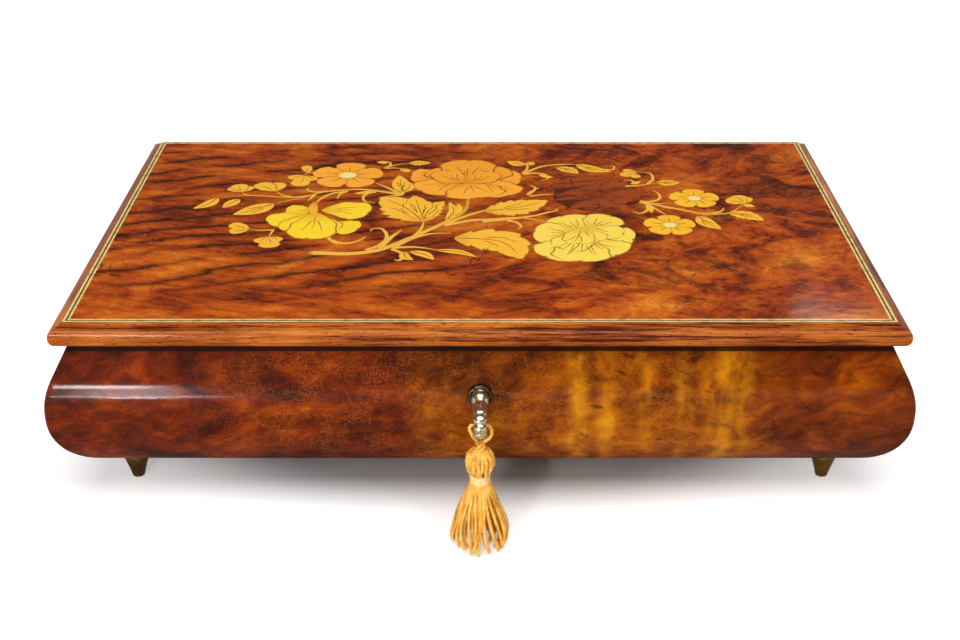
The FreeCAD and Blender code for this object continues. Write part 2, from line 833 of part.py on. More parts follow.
def build_key():
    """Key with its bit, turned stem, baluster neck and lobed bow; the bow stands upright at rest."""
    inner_face = cavity_front - lock_plate_thickness
    face = inner_face - key_face
    neck_end = face + bow_out - bow_half_length + part_gap
    outwards = Vector(0, -1, 0)
    foot = Vector(0, inner_face, key_height)
    pilot = rod(key_pilot_radius, foot - outwards * key_pilot_length, foot + outwards * face)
    shaft = rod(key_shaft_radius, foot + outwards * part_gap, foot + outwards * neck_end)
    rings = [
        ring_points(foot + outwards * (face + along), outwards, radius, key_sides)
        for radius, along in (
            (key_barrel_radius, -ring_spigot_length),
            (key_barrel_radius, collar_start),
            (key_collar_radius, collar_start),
            (key_collar_radius, collar_end),
            (key_neck_radius, collar_end + key_taper),
            (key_baluster_radius, baluster_start),
            (key_baluster_radius, baluster_end),
            (key_neck_radius, baluster_end + key_taper),
            (key_neck_radius, neck_end - face),
        )
    ]
    stem = ringed_solid(rings).fuse([pilot, shaft])
    middle = bolt_y()
    bit = block(
        -key_bit_width / 2, key_bit_width / 2, middle - bolt_thickness / 2, middle + bolt_thickness / 2,
        key_height - key_bit_reach, key_height,
    )
    centre = Vector(-bow_thickness / 2, bow_y, key_height)
    rim = []
    for step in range(bow_lobes * bow_steps):
        turn = 2 * math.pi * step / (bow_lobes * bow_steps)
        share = 1 - bow_lobe_depth * (1 - abs(math.cos(bow_lobes * turn / 2)))
        out = Vector(0, bow_half_length * math.cos(turn), bow_half_height * math.sin(turn))
        rim.append(centre + out * share)
    across = Vector(bow_thickness, 0, 0)
    hole = rod(bow_hole_radius, centre, centre + across)
    save("key", stem.fuse([bit, prism(rim, across)]).cut(hole).removeSplitter())


# Tassel

def star_ring(height, radius, groove):
    """Corners of a ring of strands round the tassel's axis: one peak and one groove for each strand."""
    points = []
    for index in range(2 * strand_count):
        turn = math.pi * index / strand_count
        far = radius if index % 2 == 0 else radius * groove
        points.append(Vector(far * math.cos(turn), tassel_y + far * math.sin(turn), height))
    return points


def strand_form(rings, groove):
    """Solid with flat-sided strands through rings given as (height, radius), grooved by a share."""
    return ringed_solid([star_ring(height, radius, groove) for height, radius in rings])


def build_tassel():
    """Cord loop through the key's bow, knot, head, wrap and skirt."""
    bar = Vector(0, tassel_y, bar_height)
    end = Vector(0, tassel_y, knot_height)
    lean = math.asin(loop_radius / (bar - end).Length)
    side = Vector(-math.cos(lean), 0, -math.sin(lean)) * loop_radius
    left, right = bar + side, bar + Vector(-side.x, 0, side.z)
    left_foot, right_foot = end + (left - end) * loop_foot_share, end + (right - end) * loop_foot_share
    top = bar + Vector(0, 0, loop_radius)
    path = Part.Wire(
        [
            Part.LineSegment(left_foot, left).toShape(),
            Part.Arc(left, top, right).toShape(),
            Part.LineSegment(right, right_foot).toShape(),
        ]
    )
    along = (left - left_foot).normalize()
    first = Vector(0, 1, 0)
    second = along.cross(first)
    turns = [2 * math.pi * index / cord_sides for index in range(cord_sides + 1)]
    corners = [first * math.cos(turn) + second * math.sin(turn) for turn in turns]
    section = Part.makePolygon([left_foot + corner * cord_radius for corner in corners])
    loop = path.makePipeShell([section], True, False)
    share = cord_sides / 2 * math.sin(2 * math.pi / cord_sides)
    print("loop: length", round(path.Length, 2), "arc radius", loop_radius)
    straight_volume = path.Length * share * cord_radius ** 2
    print("loop: volume over section times length", round(loop.Volume / straight_volume, 4))
    save("tassel_loop", loop)

    knot_low, knot_high = knot_height - knot_radius, knot_height + knot_radius
    waist = knot_radius * knot_end_share
    knot = strand_form([(knot_low, waist), (knot_height, knot_radius), (knot_high, waist)], knot_groove)
    save("tassel_knot", knot.cut(loop))

    wrap_bottom, wrap_top = tassel_level(wrap_bottom_share), tassel_level(wrap_top_share)
    head_low, head_centre, head_high = wrap_top, tassel_level(head_centre_share), knot_low - neck_gap
    rings = []
    for step in range(head_steps + 1):
        height = head_low + (head_high - head_low) * step / head_steps
        rise = (height - head_centre) / (head_radius + part_gap)
        rings.append((height, head_radius * math.sqrt(max(head_end_share, 1 - rise ** 2))))
    save("tassel_head", strand_form(rings, head_groove))

    thick = (wrap_top - wrap_bottom) / wrap_turns
    rings = []
    for index in range(wrap_turns):
        low = wrap_bottom + index * thick
        rings += [(low, wrap_radius - wrap_groove), (low + thick / 2, wrap_radius)]
    rings.append((wrap_top, wrap_radius - wrap_groove))
    save("tassel_wrap", strand_form(rings, 1.0))

    fall = wrap_bottom - tassel_clearance
    skirt = [
        (tassel_clearance, skirt_bottom_radius - skirt_tuck),
        (tassel_clearance + skirt_full_share * fall, skirt_bottom_radius),
        (tassel_clearance + skirt_mid_share * fall, skirt_mid_radius),
        (wrap_bottom, skirt_top_radius),
    ]
    save("tassel_skirt", strand_form(skirt, skirt_groove))


# Lining, dividers and ring rolls

def bay_right():
    """Right-hand face of the movement bay, where the long divider starts."""
    return -cavity_side + movement_bay_width


def bay_front():
    """Front face of the movement bay, where the cross divider starts."""
    return cavity_back - movement_bay_depth


def build_lining():
    """Dividers, velvet floor and wall linings, ring rolls."""
    low = floor_height
    top = low + divider_height
    right = bay_right()
    near = bay_front()
    save("long_divider", block(right, right + divider_thickness, cavity_front, cavity_back, low, top))
    save("cross_divider", block(-cavity_side, right, near - divider_thickness, near, low, top))
    main_left = right + divider_thickness
    base = low + floor_lining_thickness
    floor = block(main_left, cavity_side, cavity_front, cavity_back, low, base)
    tray = block(-cavity_side, right, cavity_front, near - divider_thickness, low, base)
    save("floor_lining", [floor, tray])
    high = low + lining_height
    outer = block(main_left, cavity_side, cavity_front, cavity_back, base, high)
    thick = wall_lining_thickness
    inner = block(
        main_left + thick, cavity_side - thick, cavity_front + thick, cavity_back - thick,
        base - cut_margin, high + cut_margin,
    )
    save("wall_lining", outer.cut(inner))

    tray_depth = near - divider_thickness - cavity_front
    pitch = (tray_depth - 2 * roll_margin) / roll_count
    radius = (pitch - roll_gap) / 2
    first = cavity_front + roll_margin + pitch / 2
    rolls = []
    x0, x1 = -cavity_side + roll_end_gap, right - roll_end_gap
    for index in range(roll_count):
        y = first + index * pitch
        foot = radius - roll_tuck
        centre = Vector(x0, y, base + roll_height - radius)
        turns = [math.pi * step / roll_steps for step in range(roll_steps + 1)]
        section = [centre + Vector(0, math.cos(turn), math.sin(turn)) * radius for turn in turns]
        section += [Vector(x0, y - foot, base), Vector(x0, y + foot, base)]
        rolls.append(prism(section, Vector(x1 - x0, 0, 0)))
    save("ring_rolls", rolls)


# Musical movement

def movement_centre():
    """Middle of the movement's bedplate."""
    return -cavity_side + movement_bay_width / 2, cavity_back - movement_bay_depth / 2


def at(u, v, w):
    """Point in the movement's own frame: u along X, v along Y, w above the base board."""
    x, y = movement_centre()
    return Vector(x + u, y + v, floor_height + w)


def bar(u0, u1, v0, v1, w0, w1):
    """Box in the movement's own frame."""
    low, high = at(u0, v0, w0), at(u1, v1, w1)
    return block(low.x, high.x, low.y, high.y, low.z, high.z)


def movement_fixings():
    """Three screws that hold the bedplate from below."""
    across, deep = bed_length / 2 - bed_screw_margin, bed_width / 2 - bed_screw_margin
    length = base_thickness + bed_screw_hold
    places = [at(u, v, -base_thickness) for u, v in ((-across, -deep), (-across, deep), (across, 0))]
    return [screw(place, Vector(0, 0, 1), length) for place in places]


def comb_fixings():
    """Two screws that hold the comb to its riser."""
    middle = comb_back - riser_depth / 2
    left, right = comb_left + comb_screw_margin, comb_right - comb_screw_margin
    places = [at(u, middle, comb_low + comb_thickness) for u in (left, right)]
    return [screw(place, Vector(0, 0, -1), comb_screw_length) for place in places]


crown_pitch_height = barrel_bottom + barrel_height + crown_tooth_height / 2
pinion_pitch = pinion_teeth * gear_module / 2
wheel_pitch = wheel_teeth * gear_module / 2
worm_wheel_pitch = worm_wheel_teeth * gear_module / 2
axis_height = crown_pitch_height + pinion_pitch
second_v = -wheel_pitch - pinion_pitch
fan_v = second_v - worm_wheel_pitch - worm_radius
wheel_u = cylinder_start + cylinder_length + gear_side_gap
right_u = wheel_u + gear_width + bracket_side_gap
plate_u = wheel_u - governor_side_gap
worm_u = plate_u - fan_radius - 2 * part_gap
comb_low = axis_height - comb_thickness / 2
comb_left = cylinder_start + (cylinder_length - comb_teeth * comb_pitch) / 2
comb_right = comb_left + comb_teeth * comb_pitch
comb_tip = cylinder_radius + peg_height + comb_tip_gap


def gear_prism(teeth, phase, u0, u1, v):
    """Straight-sided gear on an axis along X at the height of the cylinder's axis."""
    pitch = teeth * gear_module / 2
    tip, root = pitch + tooth_addendum * gear_module, pitch - tooth_dedendum * gear_module
    step = 2 * math.pi / teeth
    corners = []
    for index in range(teeth):
        middle = phase + index * step
        foot, crest = step * tooth_foot_share / 2, step * tooth_crest_share / 2
        corners += [(middle - foot, root), (middle - crest, tip), (middle + crest, tip), (middle + foot, root)]
    centre = at(u0, v, axis_height)
    points = [centre + Vector(0, radius * math.cos(turn), radius * math.sin(turn)) for turn, radius in corners]
    return prism(points, Vector(u1 - u0, 0, 0))


def build_bed():
    """Bedplate with the comb's riser, the comb and their screws."""
    half_u, half_v, cut = bed_length / 2, bed_width / 2, bed_corner
    corners = [
        (cut - half_u, -half_v), (half_u - cut, -half_v), (half_u, cut - half_v), (half_u, half_v - cut),
        (half_u - cut, half_v), (cut - half_u, half_v), (-half_u, half_v - cut), (-half_u, cut - half_v),
    ]
    bed = prism([at(u, v, 0) for u, v in corners], Vector(0, 0, bed_thickness))
    riser_left, riser_right = comb_left - riser_margin, comb_right + riser_margin
    riser = bar(riser_left, riser_right, comb_back - riser_depth, comb_back, bed_thickness, comb_low)
    bearings = [
        rod(winder_radius + running_clearance, at(-barrel_offset, 0, 0), at(-barrel_offset, 0, bed_thickness)),
        rod(
            fan_shaft_radius + running_clearance,
            at(worm_u, fan_v, bed_thickness / 2), at(worm_u, fan_v, bed_thickness + cut_margin),
        ),
    ]
    bed = bed.fuse(riser).cut(bearings + movement_fixings() + comb_fixings())
    save("bedplate", bed.removeSplitter())
    save("movement_screws", movement_fixings())

    points = [at(comb_left, comb_back, comb_low), at(comb_right, comb_back, comb_low)]
    for index in reversed(range(comb_teeth)):
        long = comb_longest - (comb_longest - comb_shortest) * index / (comb_teeth - 1)
        left = comb_left + index * comb_pitch + comb_slot / 2
        right = left + comb_pitch - comb_slot
        for u, v in ((right, comb_tip + long), (right, comb_tip), (left, comb_tip), (left, comb_tip + long)):
            points.append(at(u, v, comb_low))
    save("comb", prism(points, Vector(0, 0, comb_thickness)).cut(comb_fixings()))
    save("comb_screws", comb_fixings())


def build_cylinder():
    """Pinned cylinder on its arbor, with the driving pinion cut on the arbor and the wheel pressed on it."""
    arbor = rod(
        arbor_radius,
        at(cylinder_start - arbor_reach, 0, axis_height),
        at(right_u + bracket_thickness, 0, axis_height),
    )
    pinion_u = -barrel_offset + barrel_radius - crown_face / 2 - gear_width / 2
    pinion = gear_prism(pinion_teeth, -math.pi / 2, pinion_u, pinion_u + gear_width, 0)
    save("cylinder_arbor", arbor.fuse(pinion).removeSplitter())
    drum_foot = at(cylinder_start, 0, axis_height)
    drum = rod(cylinder_radius, drum_foot, drum_foot + Vector(cylinder_length, 0, 0))
    save("cylinder", drum.cut(arbor))
    wheel = gear_prism(wheel_teeth, math.pi + math.pi / wheel_teeth, wheel_u, wheel_u + gear_width, 0)
    save("cylinder_wheel", wheel.cut(arbor))

    centre = at(0, 0, axis_height)
    half = peg_size / 2
    foot = axis_height + cylinder_radius
    pegs = []
    for track in range(comb_teeth):
        u = comb_left + (track + 0.5) * comb_pitch
        for beat in range(pegs_per_track):
            turn = peg_track_turn * track + peg_beat_turn * beat + 360 * beat / pegs_per_track
            peg = bar(u - half, u + half, -half, half, foot, foot + peg_height)
            peg.rotate(centre, Vector(1, 0, 0), turn)
            pegs.append(peg)
    save("cylinder_pins", pegs)


def worm_thread():
    """Thread of the governor's worm: one section carried round and up in equal steps, right-handed."""
    lead = math.pi * gear_module
    sections = []
    for step in range(worm_turns * worm_steps + 1):
        turn = math.pi / 2 + 2 * math.pi * step / worm_steps
        rise = axis_height + lead * (step / worm_steps + 0.5 - (worm_turns + 1) // 2)
        corners = []
        for radius, lift in (
            (worm_core_radius - root_sink, -thread_foot), (worm_outer_radius, -thread_crest),
            (worm_outer_radius, thread_crest), (worm_core_radius - root_sink, thread_foot),
        ):
            corners.append(at(worm_u + radius * math.cos(turn), fan_v + radius * math.sin(turn), rise + lift))
        sections.append(corners)
    return ringed_solid(sections)


def build_train():
    """Second wheel, worm shaft with its fan, and the brackets that carry them."""
    bearing = arbor_radius + running_clearance
    arbor_end = at(right_u + bracket_thickness, second_v, axis_height)
    arbor = rod(arbor_radius, at(worm_u - gear_width, second_v, axis_height), arbor_end)
    pinion = gear_prism(pinion_teeth, 0, wheel_u, wheel_u + gear_width, second_v)
    half = worm_wheel_width / 2
    worm_wheel = gear_prism(worm_wheel_teeth, math.pi, worm_u - half, worm_u + half, second_v)
    save("second_wheel", arbor.fuse([pinion, worm_wheel]).removeSplitter())

    rise = (worm_turns + 1) * math.pi * gear_module / 2
    core_foot = at(worm_u, fan_v, axis_height - rise)
    core = prism(ring_points(core_foot, Vector(0, 0, 1), worm_core_radius, worm_steps), Vector(0, 0, 2 * rise))
    shaft_foot = at(worm_u, fan_v, bed_thickness / 2 + part_gap)
    shaft = rod(fan_shaft_radius, shaft_foot, at(worm_u, fan_v, governor_height))
    save("worm_shaft", shaft.fuse([core, worm_thread()]).removeSplitter())
    thick = fan_thickness / 2
    fan_top = fan_bottom + fan_height
    wings = bar(worm_u - fan_radius, worm_u + fan_radius, fan_v - thick, fan_v + thick, fan_bottom, fan_top)
    hub = rod(fan_hub_radius, at(worm_u, fan_v, fan_bottom), at(worm_u, fan_v, fan_top))
    save("fan", wings.fuse(hub).cut(shaft).removeSplitter())

    top = axis_height + bracket_rise
    left_u = cylinder_start - left_bracket_gap - bracket_thickness
    left = bar(left_u, left_u + bracket_thickness, -bracket_half, bracket_half, bed_thickness, top)
    near = second_v - bracket_rise
    right = bar(right_u, right_u + bracket_thickness, near, bracket_half, bed_thickness, top)
    across = Vector(2 * bed_length, 0, 0)
    starts = [at(-bed_length, v, axis_height) for v in (0, second_v)]
    bores = [rod(bearing, start, start + across) for start in starts]
    save("cylinder_brackets", [left.cut(bores[0]), right.cut(bores)])
    near = fan_v - governor_half
    post_end = second_v + governor_half
    post = bar(plate_u, plate_u + governor_thickness, near, post_end, bed_thickness, governor_height)
    arm = bar(
        worm_u - governor_half, plate_u, near, fan_v + governor_half,
        governor_height - governor_thickness, governor_height,
    )
    bore_end = at(worm_u, fan_v, governor_height + cut_margin)
    shaft_bore = rod(fan_shaft_radius + running_clearance, at(worm_u, fan_v, axis_height), bore_end)
    save("governor_bracket", post.fuse(arm).cut([bores[1], shaft_bore]).removeSplitter())


def build_barrel():
    """Spring barrel with its crown of teeth, its cap, and the mainspring inside."""
    foot, up = at(-barrel_offset, 0, 0), Vector(0, 0, 1)
    low, high = barrel_bottom, barrel_bottom + barrel_height
    bore, inner = winder_radius + running_clearance, barrel_radius - barrel_wall
    outside = prism(ring_points(foot + up * low, up, barrel_radius, barrel_sides), up * (high - low))
    inside = prism(ring_points(foot + up * low, up, inner, barrel_sides), up * (high - barrel_wall - low))
    drum = outside.cut([inside, rod(bore, foot, foot + up * (high + cut_margin))])
    near, far = barrel_radius - crown_face, barrel_radius * math.cos(math.pi / crown_teeth)
    pitch = 2 * math.pi * (barrel_radius - crown_face / 2) / crown_teeth
    wide, narrow = pitch * tooth_foot_share / 2, pitch * tooth_crest_share / 2
    teeth = []
    for index in range(crown_teeth):
        top, root = high + crown_tooth_height, high - root_sink
        section = [(-wide, root), (-narrow, top), (narrow, top), (wide, root)]
        points = [foot + Vector(near, across, height) for across, height in section]
        tooth = prism(points, Vector(far - near, 0, 0))
        tooth.rotate(foot, up, 360 * (index + 0.5) / crown_teeth)
        teeth.append(tooth)
    save("spring_barrel", drum.fuse(teeth).removeSplitter())
    cap = prism(ring_points(foot + up * low, up, inner, barrel_sides), up * barrel_cap)
    save("barrel_cap", cap.cut(rod(bore, foot, foot + up * high)))

    spring_low, spring_high = low + barrel_cap + part_gap, high - barrel_wall - part_gap
    start, end = winder_radius + 2 * part_gap, inner * math.cos(math.pi / barrel_sides) - part_gap
    edge = {0: [], spring_thickness: []}
    count = spring_turns * spring_steps
    for step in range(count + 1):
        turn = 2 * math.pi * step / spring_steps
        radius = start + (end - start - spring_thickness) * step / count
        for shift, points in edge.items():
            far_out = radius + shift
            points.append(foot + Vector(far_out * math.cos(turn), far_out * math.sin(turn), spring_low))
    save("mainspring", prism(edge[0] + edge[spring_thickness][::-1], Vector(0, 0, spring_high - spring_low)))


def build_winder():
    """Winding arbor and the winged key below the case."""
    key_high = foot_height - winding_key_gap
    key_low = key_high - winding_key_height
    x, y = at(-barrel_offset, 0, 0).x, at(-barrel_offset, 0, 0).y
    arbor_foot = Vector(x, y, key_high - winding_key_height / 2)
    arbor = rod(winder_radius, arbor_foot, at(-barrel_offset, 0, barrel_bottom + barrel_height))
    save("winding_arbor", arbor)
    hub = rod(winding_key_hub, Vector(x, y, key_low), Vector(x, y, key_high))
    half, thick, cut = winding_key_wing / 2, winding_key_thickness / 2, winding_key_corner
    wing_high = key_high - winding_key_shoulder
    outline_points = [
        (cut - half, key_low), (half - cut, key_low), (half, key_low + cut), (half, wing_high - cut),
        (half - cut, wing_high), (cut - half, wing_high), (-half, wing_high - cut), (-half, key_low + cut),
    ]
    wing = prism([Vector(x + u, y - thick, height) for u, height in outline_points], Vector(0, 2 * thick, 0))
    save("winding_key", hub.fuse(wing).cut(arbor).removeSplitter())


def build_stop():
    """Rod that the lid holds down beside the fan, and the clear cover that guides it."""
    stop_u = worm_u - fan_radius - part_gap - stop_rod_radius
    foot = at(stop_u, fan_v, fan_bottom + fan_height - stop_catch)
    top = Vector(foot.x, foot.y, lining_bottom - part_gap)
    button = rod(stop_button_radius, Vector(foot.x, foot.y, top.z - stop_button_height), top)
    save("stop_rod", rod(stop_rod_radius, foot, top).fuse(button).removeSplitter())

    low, high = floor_height + cover_top - cover_thickness, floor_height + cover_top
    left, right, near, far = -cavity_side, bay_right(), bay_front(), cavity_back
    cover = block(left + part_gap, right - part_gap, near + part_gap, far - part_gap, low, high)
    guide = rod(stop_rod_radius + running_clearance, foot, top)
    notch_x = (left + right) / 2
    notch_foot = Vector(notch_x, near, low - cut_margin)
    notch = rod(cover_notch_radius, notch_foot, notch_foot + Vector(0, 0, cover_thickness + 2 * cut_margin))
    save("movement_cover", cover.cut([guide, notch]))
    blocks = []
    for x, x_side in ((left, cover_block_size), (right, -cover_block_size)):
        for y, y_side in ((near, cover_block_size), (far, -cover_block_size)):
            corners = [(x, y), (x + x_side, y), (x, y + y_side)]
            points = [Vector(a, b, floor_height) for a, b in corners]
            blocks.append(prism(points, Vector(0, 0, low - floor_height)))
    save("cover_blocks", blocks)


build_case()
build_lid()
build_hinges()
build_lock()
build_key()
build_tassel()
build_lining()
build_bed()
build_cylinder()
build_train()
build_barrel()
build_winder()
build_stop()
print("case front", round(front, 3), "back", round(back, 3))
print("hinge axis", round(hinge_y, 3), round(hinge_height, 3))
print("key axis", round(key_height, 3), "face", round(key_face, 3), "bow", round(bow_y, 3))
print("tassel", round(tassel_y, 3), "bar", round(bar_height, 3), "knot", round(knot_height, 3))
for name, place in (
    ("cylinder", at(0, 0, axis_height)),
    ("second wheel", at(0, second_v, axis_height)),
    ("fan", at(worm_u, fan_v, 0)),
    ("barrel", at(-barrel_offset, 0, 0)),
):
    print(name, "axis", [round(value, 3) for value in place])
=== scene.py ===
"""Looks of the musical jewellery box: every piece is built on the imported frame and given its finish."""
import json
import logging
import math
from contextlib import contextmanager
from dataclasses import dataclass
from enum import Enum
from typing import Iterable, Iterator, Sequence

import bmesh
import bpy
from mathutils import Matrix, Quaternion, Vector


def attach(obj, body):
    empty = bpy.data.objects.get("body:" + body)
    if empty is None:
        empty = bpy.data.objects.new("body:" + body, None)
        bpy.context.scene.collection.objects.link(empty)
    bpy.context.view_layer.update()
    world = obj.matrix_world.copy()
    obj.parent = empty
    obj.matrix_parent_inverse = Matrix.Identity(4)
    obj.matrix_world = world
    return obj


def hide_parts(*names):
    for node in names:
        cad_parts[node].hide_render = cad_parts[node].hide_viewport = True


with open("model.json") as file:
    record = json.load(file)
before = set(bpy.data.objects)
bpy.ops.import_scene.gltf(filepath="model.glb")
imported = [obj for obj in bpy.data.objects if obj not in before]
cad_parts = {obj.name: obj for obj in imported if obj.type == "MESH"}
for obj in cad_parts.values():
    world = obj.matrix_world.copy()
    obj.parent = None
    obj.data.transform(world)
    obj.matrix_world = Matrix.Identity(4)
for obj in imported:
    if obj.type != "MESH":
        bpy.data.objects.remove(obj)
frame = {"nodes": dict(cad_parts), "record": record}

log = logging.getLogger("jewellery_box")

MM = 0.001
Point = tuple[float, float, float]
Place = tuple[float, float]
Feed = bpy.types.NodeSocket | float | str | Sequence[float]

# Sizes that several pieces share, in millimetres, as in the part's source
FRONT, BACK, HALF_WIDTH = -85.884, 109.116, 150.0
LID_BOTTOM, LID_TOP = 64.0, 72.4
RIM, CASE_BOTTOM = 63.7, 9.8
HINGES = (-95.0, 95.0)
KEY_HEIGHT, KEY_FACE = 47.1, -88.378
TASSEL_Y, BAR_HEIGHT, KNOT_HEIGHT = -108.378, 42.85, 38.6

# Distances in millimetres within which points of new pieces or of CAD nodes merge, or lie on a mitre or a cut
MERGE, MERGE_CAD, ON_MITRE, ON_PLANE = 0.0005, 0.001, 0.02, 0.0001
# Half the length of a prism that is cut to size, and the degrees within which CAD facets are one flat face
BEYOND, FLAT = 320.0, 0.6


# Shaders

def srgb(code: str) -> tuple[float, float, float, float]:
    """Turn an sRGB hex colour into linear RGBA.

    Args:
        code: The colour, with its hash sign.

    Returns:
        Red, green, blue and alpha from 0 to 1.
    """
    parts = [int(code[index:index + 2], 16) / 255 for index in (1, 3, 5)]
    linear = [part / 12.92 if part <= 0.04045 else ((part + 0.055) / 1.055) ** 2.4 for part in parts]
    return (*linear, 1.0)


@dataclass(frozen=True)
class Kind:
    """How a kind of shader node is used.

    option is the setting that the word after its type picks, inputs are those that take values in turn, fixed
    and held are settings and inputs that stay the same, and output is the one that it gives.
    """

    option: str = ""
    inputs: tuple[int | str, ...] = (0, 1, 2, 3, 4)
    output: int | str = 0
    fixed: tuple[tuple[str, str], ...] = ()
    held: tuple[tuple[str, float], ...] = ()


KINDS = {
    "Attribute": Kind(output="Fac"),
    "Bump": Kind(inputs=("Height", "Distance", "Strength")),
    "MapRange": Kind(fixed=(("interpolation_type", "SMOOTHSTEP"),)),
    "Math": Kind("operation"),
    "Mix": Kind("blend_type", (0, 6, 7), 2, (("data_type", "RGBA"),)),
    "TexCoord": Kind(output="Object"),
    "TexNoise": Kind(inputs=("Vector", "Detail", "Roughness", "Distortion"), held=(("Scale", 1.0),)),
    "VectorMath": Kind("operation", output="Value"),
}


@dataclass(frozen=True)
class Shader:
    """Node tree of a material or a world."""

    tree: bpy.types.NodeTree

    def feed(self, taker: bpy.types.Node, feeds: dict[int | str, Feed]) -> None:
        """Link inputs of a node to outputs, or set them to numbers, vectors or hex colours.

        Args:
            taker: The node.
            feeds: For each input's name or number, what it takes.
        """
        for key, feed in feeds.items():
            if isinstance(feed, bpy.types.NodeSocket):
                self.tree.links.new(feed, taker.inputs[key])
            else:
                taker.inputs[key].default_value = srgb(feed) if isinstance(feed, str) else feed

    def add(
        self, kind: str, *feeds: Feed, stops: Sequence[tuple[float, str]] = (), **settings: object
    ) -> bpy.types.NodeSocket:
        """Add one node with its links and settings.

        Args:
            kind: Its type without the ShaderNode prefix, and after a space the option that it is set to.
            feeds: What each input takes, in turn: another node's output, or a value.
            stops: Places from 0 to 1 and hex colours, for a colour ramp.
            settings: Its other attributes.

        Returns:
            Its output.
        """
        kind, _, option = kind.partition(" ")
        way = KINDS.get(kind, Kind())
        made = self.tree.nodes.new("ShaderNode" + kind)
        for key, value in (*way.fixed, (way.option, option), *settings.items()):
            if key:
                setattr(made, key, value)
        self.feed(made, dict(zip(way.inputs, feeds)) | dict(way.held))
        if stops:
            elements = made.color_ramp.elements
            while len(elements) < len(stops):
                elements.new(0.5)
            for element, (place, code) in zip(elements, stops):
                element.position, element.color = place, srgb(code)
        return made.outputs[way.output]

    def at(self, size: Point, turn: Point = (0, 0, 0), shift: Point = (0, 0, 0)) -> bpy.types.NodeSocket:
        """Object coordinates, turned and then scaled to a pattern's size.

        Args:
            size: Size of one unit of pattern along each axis, in millimetres.
            turn: Turn of the pattern about each axis, in degrees.
            shift: Shift in pattern units.

        Returns:
            The coordinates' output.
        """
        turned = self.add("Mapping", self.add("TexCoord"), (0, 0, 0), [math.radians(part) for part in turn])
        return self.add("Mapping", turned, shift, (0, 0, 0), [1 / (part * MM) for part in size])

    def paint(self, colour: Feed, sockets: dict[str, Feed]) -> None:
        """Give the surface shader its colour and its other sockets."""
        self.feed(self.tree.nodes["Principled BSDF"], {"Base Color": colour, **sockets})


@dataclass(frozen=True)
class Finish:
    """What every finish has: a name, and a way to build its material once."""

    name: str

    def shade(self, shader: Shader) -> None:
        """Fill the material's nodes; each finish has its own way."""
        raise NotImplementedError

    def material(self) -> bpy.types.Material:
        """Return the finish's material, built the first time it is asked for.

        Returns:
            The material.
        """
        made = bpy.data.materials.get(self.name)
        if not made:
            made = bpy.data.materials.new(self.name)
            made.use_nodes = True
            self.shade(Shader(made.node_tree))
        return made

    def dress(self, piece: bpy.types.Object) -> None:
        """Give the finish to a piece as its only material."""
        piece.data.materials.clear()
        piece.data.materials.append(self.material())

    def dress_nodes(self, *names: str) -> None:
        """Give the finish to CAD nodes that keep their shape.

        Args:
            names: The nodes.
        """
        for name in names:
            shown = frame["nodes"][name]
            for slot in shown.material_slots:
                slot.material = self.material()
            if not shown.material_slots:
                shown.data.materials.append(self.material())


# Modelling helpers

def alone(piece: bpy.types.Object) -> None:
    """Make a piece the only selected and active object.

    Args:
        piece: The piece.
    """
    bpy.ops.object.select_all(action="DESELECT")
    piece.select_set(True)
    bpy.context.view_layer.objects.active = piece


@contextmanager
def editing(piece: bpy.types.Object) -> Iterator[None]:
    """Work on a piece in edit mode, with all of it selected at first.

    Args:
        piece: The piece.

    Yields:
        Nothing; the mode lasts as long as the with block.
    """
    alone(piece)
    bpy.ops.object.mode_set(mode="EDIT")
    bpy.ops.mesh.select_all(action="SELECT")
    yield
    bpy.ops.object.mode_set(mode="OBJECT")


def named(piece: bpy.types.Object, name: str) -> bpy.types.Object:
    """Name a piece and its mesh.

    Args:
        piece: The piece.
        name: Its name.

    Returns:
        The piece.
    """
    piece.name = piece.data.name = name
    return piece


def placed(piece: bpy.types.Object) -> bpy.types.Object:
    """Put a piece's place, turn and scale into its mesh.

    Args:
        piece: The piece.

    Returns:
        The piece.
    """
    alone(piece)
    bpy.ops.object.transform_apply(location=True, rotation=True, scale=True)
    return piece


def settled(piece: bpy.types.Object, angle: float = 35.0) -> bpy.types.Object:
    """Finish a piece: place in its mesh, doubles merged, faces outwards and curves smooth.

    Args:
        piece: The piece.
        angle: Edges sharper than this many degrees stay sharp.

    Returns:
        The piece.
    """
    with editing(placed(piece)):
        bpy.ops.mesh.remove_doubles(threshold=MERGE * MM)
        bpy.ops.mesh.normals_make_consistent(inside=False)
    bpy.ops.object.shade_smooth_by_angle(angle=math.radians(angle))
    return piece


def modified(piece: bpy.types.Object, kind: str, **settings: object) -> None:
    """Add a modifier of a kind with its settings and apply it.

    Args:
        piece: The piece.
        kind: Type of the modifier.
        settings: Its attributes.
    """
    alone(piece)
    modifier = piece.modifiers.new(kind.lower(), kind)
    for key, value in settings.items():
        setattr(modifier, key, value)
    bpy.ops.object.modifier_apply(modifier=modifier.name)


def joined(pieces: Sequence[bpy.types.Object], name: str) -> bpy.types.Object:
    """Join pieces into one object.

    Args:
        pieces: The pieces.
        name: The new piece's name.

    Returns:
        The new piece.
    """
    alone(pieces[0])
    for piece in pieces:
        piece.select_set(True)
    if len(pieces) > 1:
        bpy.ops.object.join()
    return named(bpy.context.view_layer.objects.active, name)


def cut_away(piece: bpy.types.Object, tools: Iterable[bpy.types.Object], kept: str = "DIFFERENCE") -> None:
    """Cut a piece with tools and delete them.

    Args:
        piece: The piece.
        tools: Closed pieces that cut it, one after the other.
        kept: What stays of the piece: DIFFERENCE or INTERSECT.
    """
    for tool in list(tools):
        modified(piece, "BOOLEAN", object=tool, operation=kept, solver="EXACT")
        bpy.data.objects.remove(tool)


